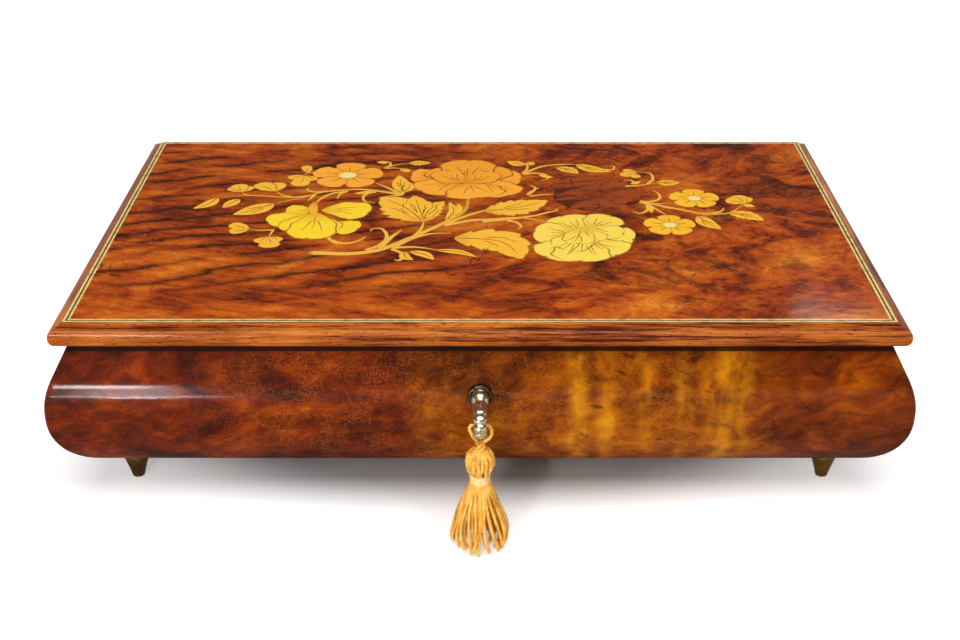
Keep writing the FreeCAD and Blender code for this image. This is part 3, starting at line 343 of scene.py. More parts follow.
def block(low: Point, high: Point) -> bpy.types.Object:
    """Add a block, as a cutting tool.

    Args:
        low: Its lowest corner in millimetres.
        high: Its highest corner.

    Returns:
        The block.
    """
    centre = [(first + second) / 2 * MM for first, second in zip(low, high)]
    bpy.ops.mesh.primitive_cube_add(size=1, location=centre)
    made = bpy.context.object
    made.scale = [(second - first) * MM for first, second in zip(low, high)]
    return placed(made)


def drill(radius: float, start: Point, end: Point) -> bpy.types.Object:
    """Add a cylinder, as a cutting tool.

    Args:
        radius: Its radius in millimetres.
        start: Where its axis starts.
        end: Where its axis ends.

    Returns:
        The cylinder.
    """
    first, second = Vector(start) * MM, Vector(end) * MM
    bpy.ops.mesh.primitive_cylinder_add(
        vertices=64, radius=radius * MM, depth=(second - first).length, location=(first + second) / 2,
        rotation=(second - first).to_track_quat("Z", "Y").to_euler(),
    )
    return placed(bpy.context.object)


def turned(
    profile: Sequence[Place], foot: Point, axis: Point = (0, 0, 1), steps: int = 48, name: str = "turned"
) -> bpy.types.Object:
    """Turn a closed profile round an axis, as on a lathe.

    Args:
        profile: Closed outline as radius and distance along the axis, in millimetres. An outline that
            touches the axis starts and ends on it.
        foot: Where the axis starts.
        axis: Its direction.
        steps: Steps of the spin.
        name: The piece's name.

    Returns:
        The turned piece.
    """
    bpy.ops.object.select_all(action="DESELECT")
    bpy.ops.mesh.primitive_circle_add(vertices=len(profile), radius=MM, fill_type="NOTHING")
    made = bpy.context.object
    for vertex, (radius, along) in zip(made.data.vertices, profile):
        vertex.co = (radius * MM, 0, along * MM)
    with editing(made):
        bpy.ops.mesh.spin(
            steps=steps, angle=2 * math.pi, center=(0, 0, 0), axis=(0, 0, 1), use_auto_merge=False
        )
        bpy.ops.mesh.select_all(action="SELECT")
        bpy.ops.mesh.remove_doubles(threshold=MERGE * MM)
    flat = bmesh.new()
    flat.from_mesh(made.data)
    loose = [edge for edge in flat.edges if not edge.link_faces]
    bmesh.ops.delete(flat, geom=loose, context="EDGES")
    flat.to_mesh(made.data)
    flat.free()
    turn = Vector((0, 0, 1)).rotation_difference(Vector(axis))
    made.matrix_world = Matrix.Translation(Vector(foot) * MM) @ turn.to_matrix().to_4x4()
    return settled(named(made, name))


def finished(
    piece: bpy.types.Object, finish: Finish, body: str, replaces: Sequence[str] = ()
) -> bpy.types.Object:
    """Dress a piece and tell the frame what it rides on and stands for.

    Args:
        piece: The finished piece.
        finish: Its finish.
        body: The CAD body it rides on.
        replaces: CAD nodes that it stands for.

    Returns:
        The piece.
    """
    finish.dress(piece)
    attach(piece, body)
    if replaces:
        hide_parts(*replaces)
    log.info("%s rides on %s: %d faces", piece.name, body, len(piece.data.polygons))
    return piece


# Finishes

# Polyester lacquer, sprayed and buffed: clear reflections in its coat, over the wood's colour
LACQUER = {
    "Roughness": 0.5, "Specular IOR Level": 0.05, "Coat Weight": 0.22, "Coat Roughness": 0.1, "Coat IOR": 1.5,
}


def curls(shader: Shader, size: float, width: float, strength: float) -> bpy.types.NodeSocket:
    """Fine winding lines of curly grain, in patches.

    Args:
        shader: The node tree that takes them.
        size: Size of a curl in millimetres.
        width: Half the width of a line, in steps of the noise.
        strength: Strongest factor.

    Returns:
        The factor's output.
    """
    add, at = shader.add, shader.at
    winding = add("TexNoise", at((size, size, size * 0.8)), 3.0, 0.62, 0.8)
    away = add("Math ABSOLUTE", add("Math SUBTRACT", winding, 0.5))
    patches = add("TexNoise", at((size * 7,) * 3, shift=(2, 6, 1)), 3.0, 0.6)
    line = add("MapRange", away, 0.0, width, strength, 0.0)
    return add("Math MULTIPLY", line, add("MapRange", patches, 0.36, 0.56))


@dataclass(frozen=True)
class LidBurl(Finish):
    """Walnut burl, sliced, laid whole and lacquered: wavy dark lines at the left, clouds at the right."""

    line_pitch: float = 11.5
    slope: float = -0.26
    pore: float = 0.35
    ink: str = "#240A06"

    def lines(self, shader: Shader, x: bpy.types.NodeSocket, y: bpy.types.NodeSocket) -> bpy.types.NodeSocket:
        """Dark growth lines, narrow crests on a broad wave, which break up and fade towards the front.

        Args:
            shader: The material's node tree.
            x: Output that gives X in millimetres.
            y: Output that gives Y.

        Returns:
            How dark the line is, from 0 to 1.
        """
        add, at = shader.add, shader.at
        sway = add("TexNoise", at((85, 42, 60), (0, 0, 9)), 3.0, 0.5, 0.3)
        shiver = add("TexNoise", at((24, 5, 12), (0, 0, 12)), 4.0, 0.55)
        across = add("Math MULTIPLY_ADD", x, self.slope, y)
        phase = add("Math MULTIPLY", across, 2 * math.pi / self.line_pitch)
        phase = add("Math MULTIPLY_ADD", sway, 13.0, phase)
        phase = add("Math MULTIPLY_ADD", shiver, 3.2, phase)
        wave = add("Math MULTIPLY_ADD", add("Math SINE", phase), 0.5, 0.5)
        crest = add("Math POWER", wave, 7.0)
        line = add("Math MULTIPLY_ADD", crest, 0.55, add("Math MULTIPLY", wave, 0.42))
        broken = add("TexNoise", at((70, 16, 20), (0, 0, 15)), 3.0, 0.5)
        line = add("Math MULTIPLY", line, add("MapRange", broken, 0.36, 0.54, 0.15, 1.0))
        return add("Math MULTIPLY", line, add("MapRange", y, -72.0, -38.0, 0.1, 1.0))

    def shade(self, shader: Shader) -> None:
        """Mix clouds, streaks, dark lines, curls and pores.

        Args:
            shader: The material's node tree.
        """
        add, at = shader.add, shader.at
        x, y, _ = add("SeparateXYZ", at((1, 1, 1))).node.outputs
        side = add("TexNoise", at((80, 70, 60), shift=(3, 1, 0)), 3.0, 0.55)
        edge = add("Math MULTIPLY_ADD", side, 150.0, x)
        line = add("Math MULTIPLY", self.lines(shader, x, y), add("MapRange", edge, 40.0, 95.0, 1.0, 0.16))

        # To the right the streaks give way to clouds
        cloud = add("TexNoise", at((64, 46, 40), (0, 0, -24), (5, 2, 1)), 8.0, 0.64, 1.9)
        streak = add("TexNoise", at((34, 6.5, 20), (0, 0, 15), (1, 7, 2)), 8.0, 0.66, 0.4)
        wavy = add("TexNoise", at((30, 17, 20), (0, 0, -30), (6, 1, 2)), 8.0, 0.7, 2.2)
        change = add("Math SUBTRACT", wavy, streak)
        glow = add("Math MULTIPLY_ADD", change, add("MapRange", edge, 55.0, 105.0), streak)
        mixed = add("Math MULTIPLY_ADD", cloud, 0.62, add("Math MULTIPLY", glow, 0.38))
        base = add("ValToRGB", mixed, stops=(
            (0.36, "#30100A"), (0.43, "#722409"), (0.50, "#B0460D"), (0.58, "#D06616"), (0.68, "#EA942E"),
        ))
        dark = add("TexNoise", at((44, 26, 30), (0, 0, 24), (9, 3, 4)), 8.0, 0.7, 1.2)
        dark = add(
            "Math MULTIPLY", add("MapRange", dark, 0.50, 0.64), add("MapRange", edge, 60.0, 120.0, 0.3, 0.8)
        )
        base = add("Mix MIX", dark, base, "#2A0D08")
        base = add("Mix MIX", add("Math MULTIPLY", line, 0.94), base, self.ink)
        base = add("Mix MIX", curls(shader, 21.0, 0.009, 0.85), base, self.ink)
        crisp = add("TexNoise", at((5.0, 2.2, 4.0), (0, 0, 20)), 4.0, 0.7, 1.0)
        base = add("Mix SCREEN", add("MapRange", crisp, 0.52, 0.70, 0.0, 0.30), base, "#D8641A")
        base = add("Mix MULTIPLY", add("MapRange", crisp, 0.48, 0.30, 0.0, 0.45), base, "#6E2A10")

        # Pores are 0.1 mm wide in the real wood and are drawn wider, so that they show
        pores = add("TexNoise", at((self.pore * 7, self.pore, 1), (0, 0, 8)), 2.0, 0.7)
        base = add("Mix MULTIPLY", add("MapRange", pores, 0.56, 0.74, 0.0, 0.34), base, "#4A2010")
        silk = add("TexNoise", at((5, 0.9, 3), (0, 0, 10)), 3.0, 0.6)
        base = add("Mix SCREEN", add("MapRange", silk, 0.55, 0.8, 0.0, 0.16), base, "#C4702A")
        shader.paint(base, LACQUER)


@dataclass(frozen=True)
class CaseBurl(Finish):
    """Burl veneer bent over the bowed sides and lacquered: red-brown at the left, golden at the right.

    The golden field runs from gold_from to gold_to along the piece. Each ripple has a place along it, half
    its width and its strength.
    """

    gold_from: float = -30.0
    gold_to: float = 92.0
    # Height in millimetres where the rim's band of painted shade starts
    shade_band_height: float = 61.3
    along_depth: bool = False
    ripple: tuple[tuple[float, float, float], ...] = (
        (33.5, 2.6, 0.95), (44.0, 2.4, 0.6), (58.5, 1.8, 0.5), (71.5, 2.2, 0.6), (85.0, 4.4, 0.9),
        (93.0, 2.6, 0.5),
    )

    def shade(self, shader: Shader) -> None:
        """Mix mottled burl, the golden field and its upright ripples.

        Args:
            shader: The material's node tree.
        """
        add, at = shader.add, shader.at
        x, _, height = add("SeparateXYZ", at((1, 1, 1), (0, 0, 90 * self.along_depth))).node.outputs
        drift = add("TexNoise", at((34, 34, 16)), 4.0, 0.6, 0.6)
        along = add("Math ADD", x, add("Math MULTIPLY_ADD", drift, 16.0, -8.0))
        gold = add("MapRange", along, self.gold_from, self.gold_from + 9.0, 0.0, 0.9)
        gold = add(
            "Math MULTIPLY", gold, add("MapRange", along, self.gold_to, self.gold_to + 22.0, 1.0, 0.42)
        )

        cloud = add("TexNoise", at((46, 40, 26), (0, 18, 0), (2, 1, 3)), 6.0, 0.6, 0.9)
        fleck = add("TexNoise", at((11, 9, 6), (0, 10, 0)), 7.0, 0.66, 0.9)
        mixed = add("Math MULTIPLY_ADD", cloud, 0.6, add("Math MULTIPLY", fleck, 0.4))
        red = add("ValToRGB", mixed, stops=(
            (0.36, "#1C0602"), (0.44, "#421003"), (0.52, "#661E02"), (0.60, "#8A3402"), (0.68, "#B05404"),
        ))
        amber = add("ValToRGB", mixed, stops=(
            (0.35, "#2A0E02"), (0.43, "#562200"), (0.52, "#803A00"), (0.60, "#A25600"), (0.70, "#C88006"),
        ))
        base = add("Mix MIX", gold, red, amber)

        # Ripples are bands of light across curly grain, a few millimetres wide
        total = 0.0
        for centre, half, strength in self.ripple:
            away = add("Math ABSOLUTE", add("Math SUBTRACT", along, centre))
            total = add("Math MAXIMUM", total, add("MapRange", away, 0.0, half * 2, strength, 0.0))
        fade = add("TexNoise", at((6, 6, 30), shift=(4, 4, 4)), 4.0, 0.6)
        total = add("Math MULTIPLY", total, add("MapRange", fade, 0.3, 0.62))
        base = add("Mix SCREEN", add("Math MULTIPLY", total, 0.46), base, "#E8960E")
        dark = add("TexNoise", at((26, 26, 8), (0, -24, 0), (7, 1, 2)), 5.0, 0.6, 0.8)
        base = add("Mix MIX", add("MapRange", dark, 0.56, 0.72, 0.0, 0.72), base, "#451707")

        # Fine golden curls glitter where the burl is thickest, round the keyhole
        middle = add("Math ABSOLUTE", add("Math SUBTRACT", along, 5.0))
        middle = add("MapRange", middle, 65.0, 115.0, 1.0, 0.2)
        base = add(
            "Mix SCREEN", add("Math MULTIPLY", curls(shader, 1.2, 0.03, 0.30), middle), base, "#FF8A00"
        )
        flakes = add("TexNoise", at((9, 9, 1.8), (0, -22, 0), (3, 3, 3)), 3.0, 0.6, 0.4)
        flakes = add("Math MULTIPLY", add("MapRange", flakes, 0.63, 0.69, 0.0, 0.75), gold)
        base = add("Mix MIX", flakes, base, "#3A1403")

        # A dark band of painted shade runs round the rim, where the lid's overhang shades it
        rim = add("MapRange", height, self.shade_band_height - 0.35, self.shade_band_height, 0.0, 0.9)
        shader.paint(add("Mix MIX", rim, base, "#1E0803"), LACQUER)


@dataclass(frozen=True)
class Rosewood(Finish):
    """Rosewood, moulded lengthwise and lacquered: straight grain with short dark pores."""

    along_depth: bool = False
    light: str = "#CE7626"
    mid: str = "#A85619"
    dark: str = "#521C08"

    def shade(self, shader: Shader) -> None:
        """Mix long grain streaks and pores that run along the piece.

        Args:
            shader: The material's node tree.
        """
        add, at = shader.add, shader.at
        turn = (0, 0, 90 * self.along_depth)
        grain = add("TexNoise", at((60, 3.0, 2.2), turn), 5.0, 0.6, 0.25)
        fine = add("TexNoise", at((14, 0.7, 0.6), turn, (3, 0, 0)), 3.0, 0.6)
        mixed = add("Math MULTIPLY_ADD", grain, 0.65, add("Math MULTIPLY", fine, 0.35))
        base = add("ValToRGB", mixed, stops=(
            (0.40, self.dark), (0.475, self.mid), (0.60, self.light), (0.72, "#E89C4C"),
        ))
        patch = add("TexNoise", at((38, 30, 30), turn, (1, 1, 1)), 2.0, 0.55)
        base = add("Mix MULTIPLY", add("MapRange", patch, 0.4, 0.62, 0.0, 0.5), base, "#A3562C")
        pores = add("TexNoise", at((3.4, 0.42, 0.42), turn, (0, 5, 0)), 2.0, 0.7)
        base = add("Mix MIX", add("MapRange", pores, 0.585, 0.66, 0.0, 0.85), base, "#2C0E06")
        shader.paint(base, LACQUER)


@dataclass(frozen=True)
class Stringing(Finish):
    """Thin line of dyed or natural veneer under the lacquer: even colour with a faint lengthwise fibre."""

    colour: str = "#E8D089"
    shadow: str = "#B99446"

    def shade(self, shader: Shader) -> None:
        """Mix two tones by a fine fibre.

        Args:
            shader: The material's node tree.
        """
        fibre = shader.add("TexNoise", shader.at((4, 4, 0.4)), 3.0, 0.6)
        stops = ((0.3, self.shadow), (0.52, self.colour), (1.0, self.colour))
        shader.paint(shader.add("ValToRGB", fibre, stops=stops), LACQUER)


@dataclass(frozen=True)
class Inlay(Finish):
    """Dyed maple or pear, fret-cut and scorched in hot sand: bright, browner at the root, dark at the joint.

    scorch_end is how far along the piece the scorching reaches, and figure is how strongly burl shows in it.
    """

    light: str = "#F2C230"
    scorched: str = "#B8720F"
    joint: str = "#5A3008"
    scorch_end: float = 0.42
    figure: float = 0.0

    def shade(self, shader: Shader) -> None:
        """Shade each cut piece by its own map: first along it, second across it.

        Args:
            shader: The material's node tree.
        """
        add, at = shader.add, shader.at
        flat = add("UVMap", uv_map="UVMap")
        along, across, _ = add("SeparateXYZ", flat).node.outputs
        tone = add("Attribute", attribute_name="tone", attribute_type="GEOMETRY")
        fibre = add("TexNoise", add("Mapping", flat, (0, 0, 0), (0, 0, 0), (3.0, 26.0, 1.0)), 3.0, 0.6)
        scorch = add("MapRange", along, 0.0, self.scorch_end, 0.62, 0.0)
        scorch = add("Math ADD", scorch, add("MapRange", fibre, 0.45, 0.8, 0.0, 0.22), use_clamp=True)
        base = add("Mix MIX", scorch, self.light, self.scorched)
        base = add("Mix MULTIPLY", add("MapRange", tone, 0.0, 1.0, 0.3, 0.0), base, "#D98A2C")
        burl = add("TexNoise", at((18, 9, 12), (0, 0, -20)), 7.0, 0.66, 1.2)
        base = add("Mix MIX", add("MapRange", burl, 0.48, 0.62, 0.0, self.figure), base, "#3E1408")
        away = add("Math ABSOLUTE", add("Math SUBTRACT", across, 0.5))
        rim = add("Math MAXIMUM", add("MapRange", away, 0.45, 0.485), add("MapRange", along, 0.968, 0.995))
        shader.paint(add("Mix MIX", add("Math MULTIPLY", rim, 0.75), base, self.joint), LACQUER)


@dataclass(frozen=True)
class Metal(Finish):
    """Cast, turned or rolled metal: bright where it is rubbed, with a darker skin where it has aged.

    patch is the size of the worn areas in millimetres, grit that of the fine scratches, and age how much is
    dark.
    """

    bright: str = "#D9B56A"
    aged: str = "#8A6A34"
    roughness: float = 0.3
    patch: float = 6.0
    grit: float = 0.25
    age: float = 0.5

    def shade(self, shader: Shader) -> None:
        """Mix bright and aged metal by patches, with a fine uneven surface.

        Args:
            shader: The material's node tree.
        """
        add, at = shader.add, shader.at
        worn = add("TexNoise", at((self.patch,) * 3), 5.0, 0.62)
        dark = add("MapRange", worn, 0.62 - self.age * 0.45, 0.88 - self.age * 0.35)
        scratches = add("TexNoise", at((self.grit,) * 3), 3.0, 0.55)
        shader.paint(add("Mix MIX", dark, self.bright, self.aged), {
            "Metallic": 1.0, "Normal": add("Bump", scratches, 0.02 * MM, 0.35),
            "Roughness": add(
                "MapRange", worn, 0.3, 0.7, self.roughness * 0.75, min(self.roughness * 1.4, 0.95)
            ),
        })


@dataclass(frozen=True)
class Velvet(Finish):
    """Cotton velvet, glued down: a deep colour that pales at glancing angles, with a brushed nap."""

    colour: str = "#7C0F1E"
    shadow: str = "#5E0A16"

    def shade(self, shader: Shader) -> None:
        """Mix brushed patches of the nap and give it sheen.

        Args:
            shader: The material's node tree.
        """
        add, at = shader.add, shader.at
        nap = add("TexNoise", at((14, 14, 9)), 4.0, 0.6, 0.4)
        pile = add("TexNoise", at((0.45, 0.45, 0.45)), 3.0, 0.7)
        mixed = add("Math MULTIPLY_ADD", nap, 0.7, add("Math MULTIPLY", pile, 0.3))
        shader.paint(add("ValToRGB", mixed, stops=((0.30, self.shadow), (0.62, self.colour))), {
            "Roughness": 0.95, "Specular IOR Level": 0.1, "Sheen Weight": 0.8, "Sheen Roughness": 0.35,
            "Sheen Tint": "#E06A78", "Normal": add("Bump", pile, 0.25 * MM, 0.6),
        })


@dataclass(frozen=True)
class BareWood(Finish):
    """Planed limewood or plywood left bare inside: pale, matt, with faint straight grain."""

    light: str = "#C9A06A"
    dark: str = "#9A6E3C"

    def shade(self, shader: Shader) -> None:
        """Mix two tones along the grain.

        Args:
            shader: The material's node tree.
        """
        grain = shader.add("TexNoise", shader.at((60, 2.4, 2.4)), 5.0, 0.6, 0.2)
        shader.paint(shader.add("ValToRGB", grain, stops=((0.35, self.dark), (0.62, self.light))), {
            "Roughness": 0.62, "Specular IOR Level": 0.35,
            "Normal": shader.add("Bump", grain, 0.05 * MM, 0.5),
        })


@dataclass(frozen=True)
class Acrylic(Finish):
    """Cast acrylic sheet, polished: clear, with the faintest grey."""

    def shade(self, shader: Shader) -> None:
        """Set a clear dielectric with a little unevenness from handling.

        Args:
            shader: The material's node tree.
        """
        haze = shader.add("TexNoise", shader.at((9, 9, 9)), 4.0, 0.6)
        rough = shader.add("MapRange", haze, 0.4, 0.8, 0.0, 0.06)
        shader.paint("#F1F6F7", {"Transmission Weight": 1.0, "IOR": 1.49, "Roughness": rough})


@dataclass(frozen=True)
class SilkCord(Finish):
    """Rayon yarn, spun and plied: golden, silky along its fibres, deeper between the plies."""

    light: str = "#FACB66"
    mid: str = "#EDA838"
    deep: str = "#C07A18"
    fibre: float = 0.16

    def shade(self, shader: Shader) -> None:
        """Mix yarn tones by fine fibres and broad unevenness.

        Args:
            shader: The material's node tree.
        """
        add, at = shader.add, shader.at
        broad = add("TexNoise", at((2.4, 2.4, 5.0)), 3.0, 0.5)
        fine = add("TexNoise", at((self.fibre, self.fibre, self.fibre * 4)), 3.0, 0.65)
        mixed = add("Math MULTIPLY_ADD", broad, 0.55, add("Math MULTIPLY", fine, 0.45))
        stops = ((0.36, self.deep), (0.47, self.mid), (0.60, self.light))
        shader.paint(add("ValToRGB", mixed, stops=stops), {
            "Roughness": 0.5, "Specular IOR Level": 0.4, "Sheen Weight": 0.15, "Sheen Roughness": 0.4,
            "Sheen Tint": "#FFE3A0", "Normal": add("Bump", fine, 0.03 * MM, 0.4),
        })


LID_VENEER = LidBurl("lacquered_walnut_burl")
FRONT_VENEER = CaseBurl("lacquered_burl_front")
SIDE_VENEER = CaseBurl(
    "lacquered_burl_side", gold_from=20.0, gold_to=60.0, along_depth=True, ripple=((30.0, 3.0, 0.4),),
)
MOULDING = Rosewood("lacquered_rosewood")
MOULDING_DEEP = Rosewood("lacquered_rosewood_side", along_depth=True)
LIGHT_STRING = Stringing("boxwood_stringing")
DARK_STRING = Stringing("ebonised_stringing", "#6A4620", "#483014")
LINING = Velvet("crimson_velvet")
BARE_WOOD = BareWood("bare_limewood")
CLEAR_SHEET = Acrylic("cast_acrylic")
AGED_BRASS = Metal("turned_aged_brass", "#A67C3C", "#6A4C24", 0.36, 9.0, 0.35, 0.6)
HINGE_BRASS = Metal("rolled_brass", "#D8B163", "#9A7434", 0.28, 8.0, 0.3, 0.35)
DARK_BRONZE = Metal("patinated_bronze", "#7A6A55", "#2B221B", 0.36, 1.6, 0.2, 0.6)
NICKEL = Metal("tarnished_nickel_silver", "#FFF0CC", "#8A744C", 0.27, 1.1, 0.3, 0.4)
STEEL = Metal("ground_steel", "#C9CBCF", "#8E9196", 0.25, 5.0, 0.2, 0.3)
GOLD_PLATE = Metal("gold_plated_zinc", "#E2B765", "#B0853A", 0.2, 7.0, 0.3, 0.25)
WHEEL_BRASS = Metal("hobbed_brass", "#E0BC6C", "#B18C44", 0.22, 5.0, 0.2, 0.25)
CORD = SilkCord("plied_rayon_cord")
BINDING = SilkCord("wound_rayon_binding", "#FFE6A8", "#F8D284", "#CC9438")


# Studio

@dataclass
class Softbox:
    """Rectangular lamp: its place and aim in metres, size in metres, power in watts and roll in degrees."""

    name: str
    place: Point
    aim: Point
    size: Place
    power: float
    mirrored: bool = True
    roll: float = 0.0

    def build(self) -> None:
        """Add the lamp, turned towards its aim; one that isn't mirrored leaves no streak on the lacquer."""
        bpy.ops.object.light_add(type="AREA", location=self.place)
        lamp = bpy.context.object
        lamp.name = self.name
        lamp.data.shape = "RECTANGLE"
        lamp.data.size, lamp.data.size_y = self.size
        lamp.data.energy = self.power
        faced = (Vector(self.aim) - Vector(self.place)).to_track_quat("-Z", "Y")
        lamp.rotation_euler = (faced @ Quaternion((0, 0, 1), math.radians(self.roll))).to_euler()
        lamp.visible_glossy = self.mirrored


@dataclass
class Studio:
    """White sweep, soft light, and a camera that looks 26 degrees down.

    sky is the strength that lights the object, ceiling what the lacquer mirrors overhead, and mirrored_glow
    the share of the floor's own light that it mirrors. The floor's glow rises between two strengths round the
    box, over floor_reach in millimetres, and by far_glow beyond it; held low near the box, it paints shadow
    there.
    """

    camera_place: Point = (0.0, -0.555, 0.3063)
    pitch: float = 26.21
    lens: float = 56.98
    sky: float = 0.28
    ceiling: float = 0.05
    glow_round_painted_shadow: tuple[float, float] = (0.0, 0.42)
    far_glow: float = 0.5
    mirrored_glow: float = 0.35
    floor_reach: Point = (160.0, 115.0, 100.0)
    lamps: tuple[Softbox, ...] = (
        Softbox("overhead_softbox", (0.05, -0.55, 1.35), (0, 0, 0), (1.3, 1.0), 16.5),
        Softbox("front_softbox", (-0.5, -1.3, 0.75), (0, 0, 0.03), (0.7, 0.5), 2.0, mirrored=False),
        Softbox("window_light", (-0.41, -1.15, 0.34), (-0.14, -0.09, 0.05), (0.11, 0.08), 2.3),
        Softbox("window_sill_light", (-0.375, -1.17, 0.19), (-0.13, -0.09, 0.05), (0.10, 0.24), 1.7),
        Softbox("strip_light", (-0.365, -1.16, 0.05), (-0.12, -0.09, 0.05), (0.17, 0.010), 0.9),
        Softbox("second_strip_light", (-0.365, -1.16, 0.012), (-0.12, -0.09, 0.05), (0.06, 0.010), 0.5),
        Softbox("corner_card", (0.387, 0.85, 0.552), (0.12, -0.06, 0.07), (0.13, 0.036), 0.094, roll=-15.0),
        Softbox("right_card", (0.95, 0.95, 0.62), (0.12, -0.05, 0.07), (0.55, 0.5), 1.0),
    )

    def build(self) -> None:
        """Add the camera, lamps, world and floor."""
        bpy.ops.object.camera_add(location=self.camera_place, rotation=(math.radians(90 - self.pitch), 0, 0))
        camera = bpy.context.object
        camera.data.lens = self.lens
        camera.data.sensor_width = 36
        camera.data.clip_start = 0.01
        bpy.context.scene.camera = camera
        bpy.context.scene.view_settings.view_transform = "Standard"
        for lamp in self.lamps:
            lamp.build()
        self.build_world()
        self.build_floor()

    def build_world(self) -> None:
        """White where it is seen, dark overhead in reflections, and softer where it lights the object."""
        world = bpy.data.worlds.new("studio_white")
        bpy.context.scene.world = world
        world.use_nodes = True
        shader = Shader(world.node_tree)
        add = shader.add
        path = add("LightPath").node.outputs
        rise = add("SeparateXYZ", add("TexCoord")).node.outputs["Z"]
        wall = add("MapRange", rise, 0.06, 0.27, 1.0, self.ceiling)
        mirror = add("Math MAXIMUM", path["Is Glossy Ray"], path["Is Transmission Ray"])
        strength = add("MapRange", mirror, 0.0, 1.0, self.sky, wall)
        strength = add("Math MAXIMUM", strength, path["Is Camera Ray"])
        shader.feed(shader.tree.nodes["Background"], {"Color": "#FFFFFF", "Strength": strength})

    def build_floor(self) -> None:
        """Matt white table that takes a soft shadow round the box, deepened by painted shadow, and is white
        beyond it.
        """
        bpy.ops.mesh.primitive_plane_add(size=12, location=(0, 0, 0))
        floor = named(bpy.context.object, "studio_floor")
        material = bpy.data.materials.new("matt_white_paper")
        material.use_nodes = True
        shader = Shader(material.node_tree)
        shader.tree.nodes.remove(shader.tree.nodes["Principled BSDF"])
        add = shader.add
        path = add("LightPath").node.outputs
        # Painted shade: reflections take only a share of the floor's glow, so the lacquer mirrors a darker
        # floor
        seen = add("Math MULTIPLY", path["Is Glossy Ray"], self.mirrored_glow)
        seen = add("Math MAXIMUM", path["Is Camera Ray"], seen)
        seen = add("Math MAXIMUM", seen, path["Is Transmission Ray"])
        # Painted shade: in reflections the paper is mid grey instead of white
        paper = add("BsdfDiffuse", add("Mix MIX", path["Is Glossy Ray"], "#F4F4F4", "#808080"))
        away = add("VectorMath LENGTH", shader.at(self.floor_reach))
        # Painted shadow: the glow is held at nothing round the box and rises towards floor_reach
        near = add("MapRange", away, 0.62, 1.0, *self.glow_round_painted_shadow)
        lift = add("Math ADD", near, add("MapRange", away, 1.2, 6.0, 0.0, self.far_glow))
        glow = add("Emission", "#FFFFFF", add("Math MULTIPLY", seen, lift))
        shader.feed(shader.tree.nodes["Material Output"], {"Surface": add("AddShader", paper, glow)})
        floor.data.materials.append(material)


# Case

def pillar(outline: Sequence[Place], along_x: bool, name: str) -> bpy.types.Object:
    """Extrude a closed outline into a prism far beyond the case.

    Args:
        outline: Closed outline; first across, then height, in millimetres.
        along_x: True to extrude along X, otherwise along Y.
        name: The piece's name.

    Returns:
        The prism.
    """
    bpy.ops.object.select_all(action="DESELECT")
    bpy.ops.mesh.primitive_circle_add(vertices=len(outline), radius=0.1, fill_type="NGON")
    made = bpy.context.object
    for vertex, (across, height) in zip(made.data.vertices, outline):
        place = (-BEYOND, across, height) if along_x else (across, -BEYOND, height)
        vertex.co = Vector(place) * MM
    travel = (2 * BEYOND * MM, 0, 0) if along_x else (0, 2 * BEYOND * MM, 0)
    with editing(made):
        bpy.ops.mesh.extrude_region_move(TRANSFORM_OT_translate={"value": travel})
        bpy.ops.mesh.select_all(action="SELECT")
        bpy.ops.mesh.normals_make_consistent(inside=False)
    return named(made, name)


def crossed(edge: Sequence[Place], back_edge: Sequence[Place], name: str) -> bpy.types.Object:
    """Solid block with one edge profile along its front and sides and another along its back.

    Args:
        edge: Inset and height up the edge, in millimetres.
        back_edge: The same for the back.
        name: The piece's name.

    Returns:
        The block, its mitred corners crisp.
    """
    left = [(-HALF_WIDTH + inset, height) for inset, height in edge]
    right = [(HALF_WIDTH - inset, height) for inset, height in reversed(edge)]
    front = [(FRONT + inset, height) for inset, height in edge]
    back = [(BACK - inset, height) for inset, height in reversed(back_edge)]
    made = pillar(left + right, False, name)
    cut_away(made, [pillar(front + back, True, name + "_crossing")], "INTERSECT")
    return made


def round_front_corners(piece: bpy.types.Object, radius: float) -> None:
    """Round the upright mitre lines at the front of a crossed block.

    Args:
        piece: The block.
        radius: Radius of the round in millimetres.
    """
    def on_mitre(place: Vector) -> bool:
        """Whether a place lies on either front mitre."""
        return abs(HALF_WIDTH - abs(place.x) / MM - (place.y / MM - FRONT)) < ON_MITRE

    with editing(piece):
        bpy.ops.mesh.select_all(action="DESELECT")
    mesh = piece.data
    for edge in mesh.edges:
        first, second = (mesh.vertices[index].co for index in edge.vertices)
        across = abs(first.x - second.x) > HALF_WIDTH * MM
        edge.select = on_mitre(first) and on_mitre(second) and not across
    bpy.ops.object.mode_set(mode="EDIT")
    bpy.ops.mesh.bevel(offset=radius * MM, segments=4, affect="EDGES", clamp_overlap=True)

    # A cut just beside each mitre keeps the long faces' shading flat along their length
    for corner, normal in (((-HALF_WIDTH, FRONT, 0), (1, -1, 0)), ((HALF_WIDTH, FRONT, 0), (-1, -1, 0))):
        for side in (-1, 1):
            place = Vector(corner) + Vector(normal) * side * radius * 0.8
            bpy.ops.mesh.select_all(action="SELECT")
            bpy.ops.mesh.bisect(plane_co=place * MM, plane_no=normal, threshold=ON_PLANE * MM)
    bpy.ops.object.mode_set(mode="OBJECT")


def sliced(whole: bpy.types.Object, name: str, planes: Sequence[tuple[Point, Point]]) -> bpy.types.Object:
    """Copy a block, cut the copy by planes and close each cut.

    Args:
        whole: The block, which stays as it is.
        name: The copy's name.
        planes: A point in millimetres on each plane, and the direction of the side that goes.

    Returns:
        The copy.
    """
    alone(whole)
    bpy.ops.object.duplicate()
    piece = named(bpy.context.view_layer.objects.active, name)
    with editing(piece):
        for point, normal in planes:
            bpy.ops.mesh.select_all(action="SELECT")
            bpy.ops.mesh.bisect(
                plane_co=Vector(point) * MM, plane_no=normal, use_fill=True, clear_outer=True,
                threshold=ON_PLANE * MM
            )
    return piece


class Side(Enum):
    """Sides of the lid and of the case."""

    FRONT = "front"
    BACK = "back"
    LEFT = "left"
    RIGHT = "right"


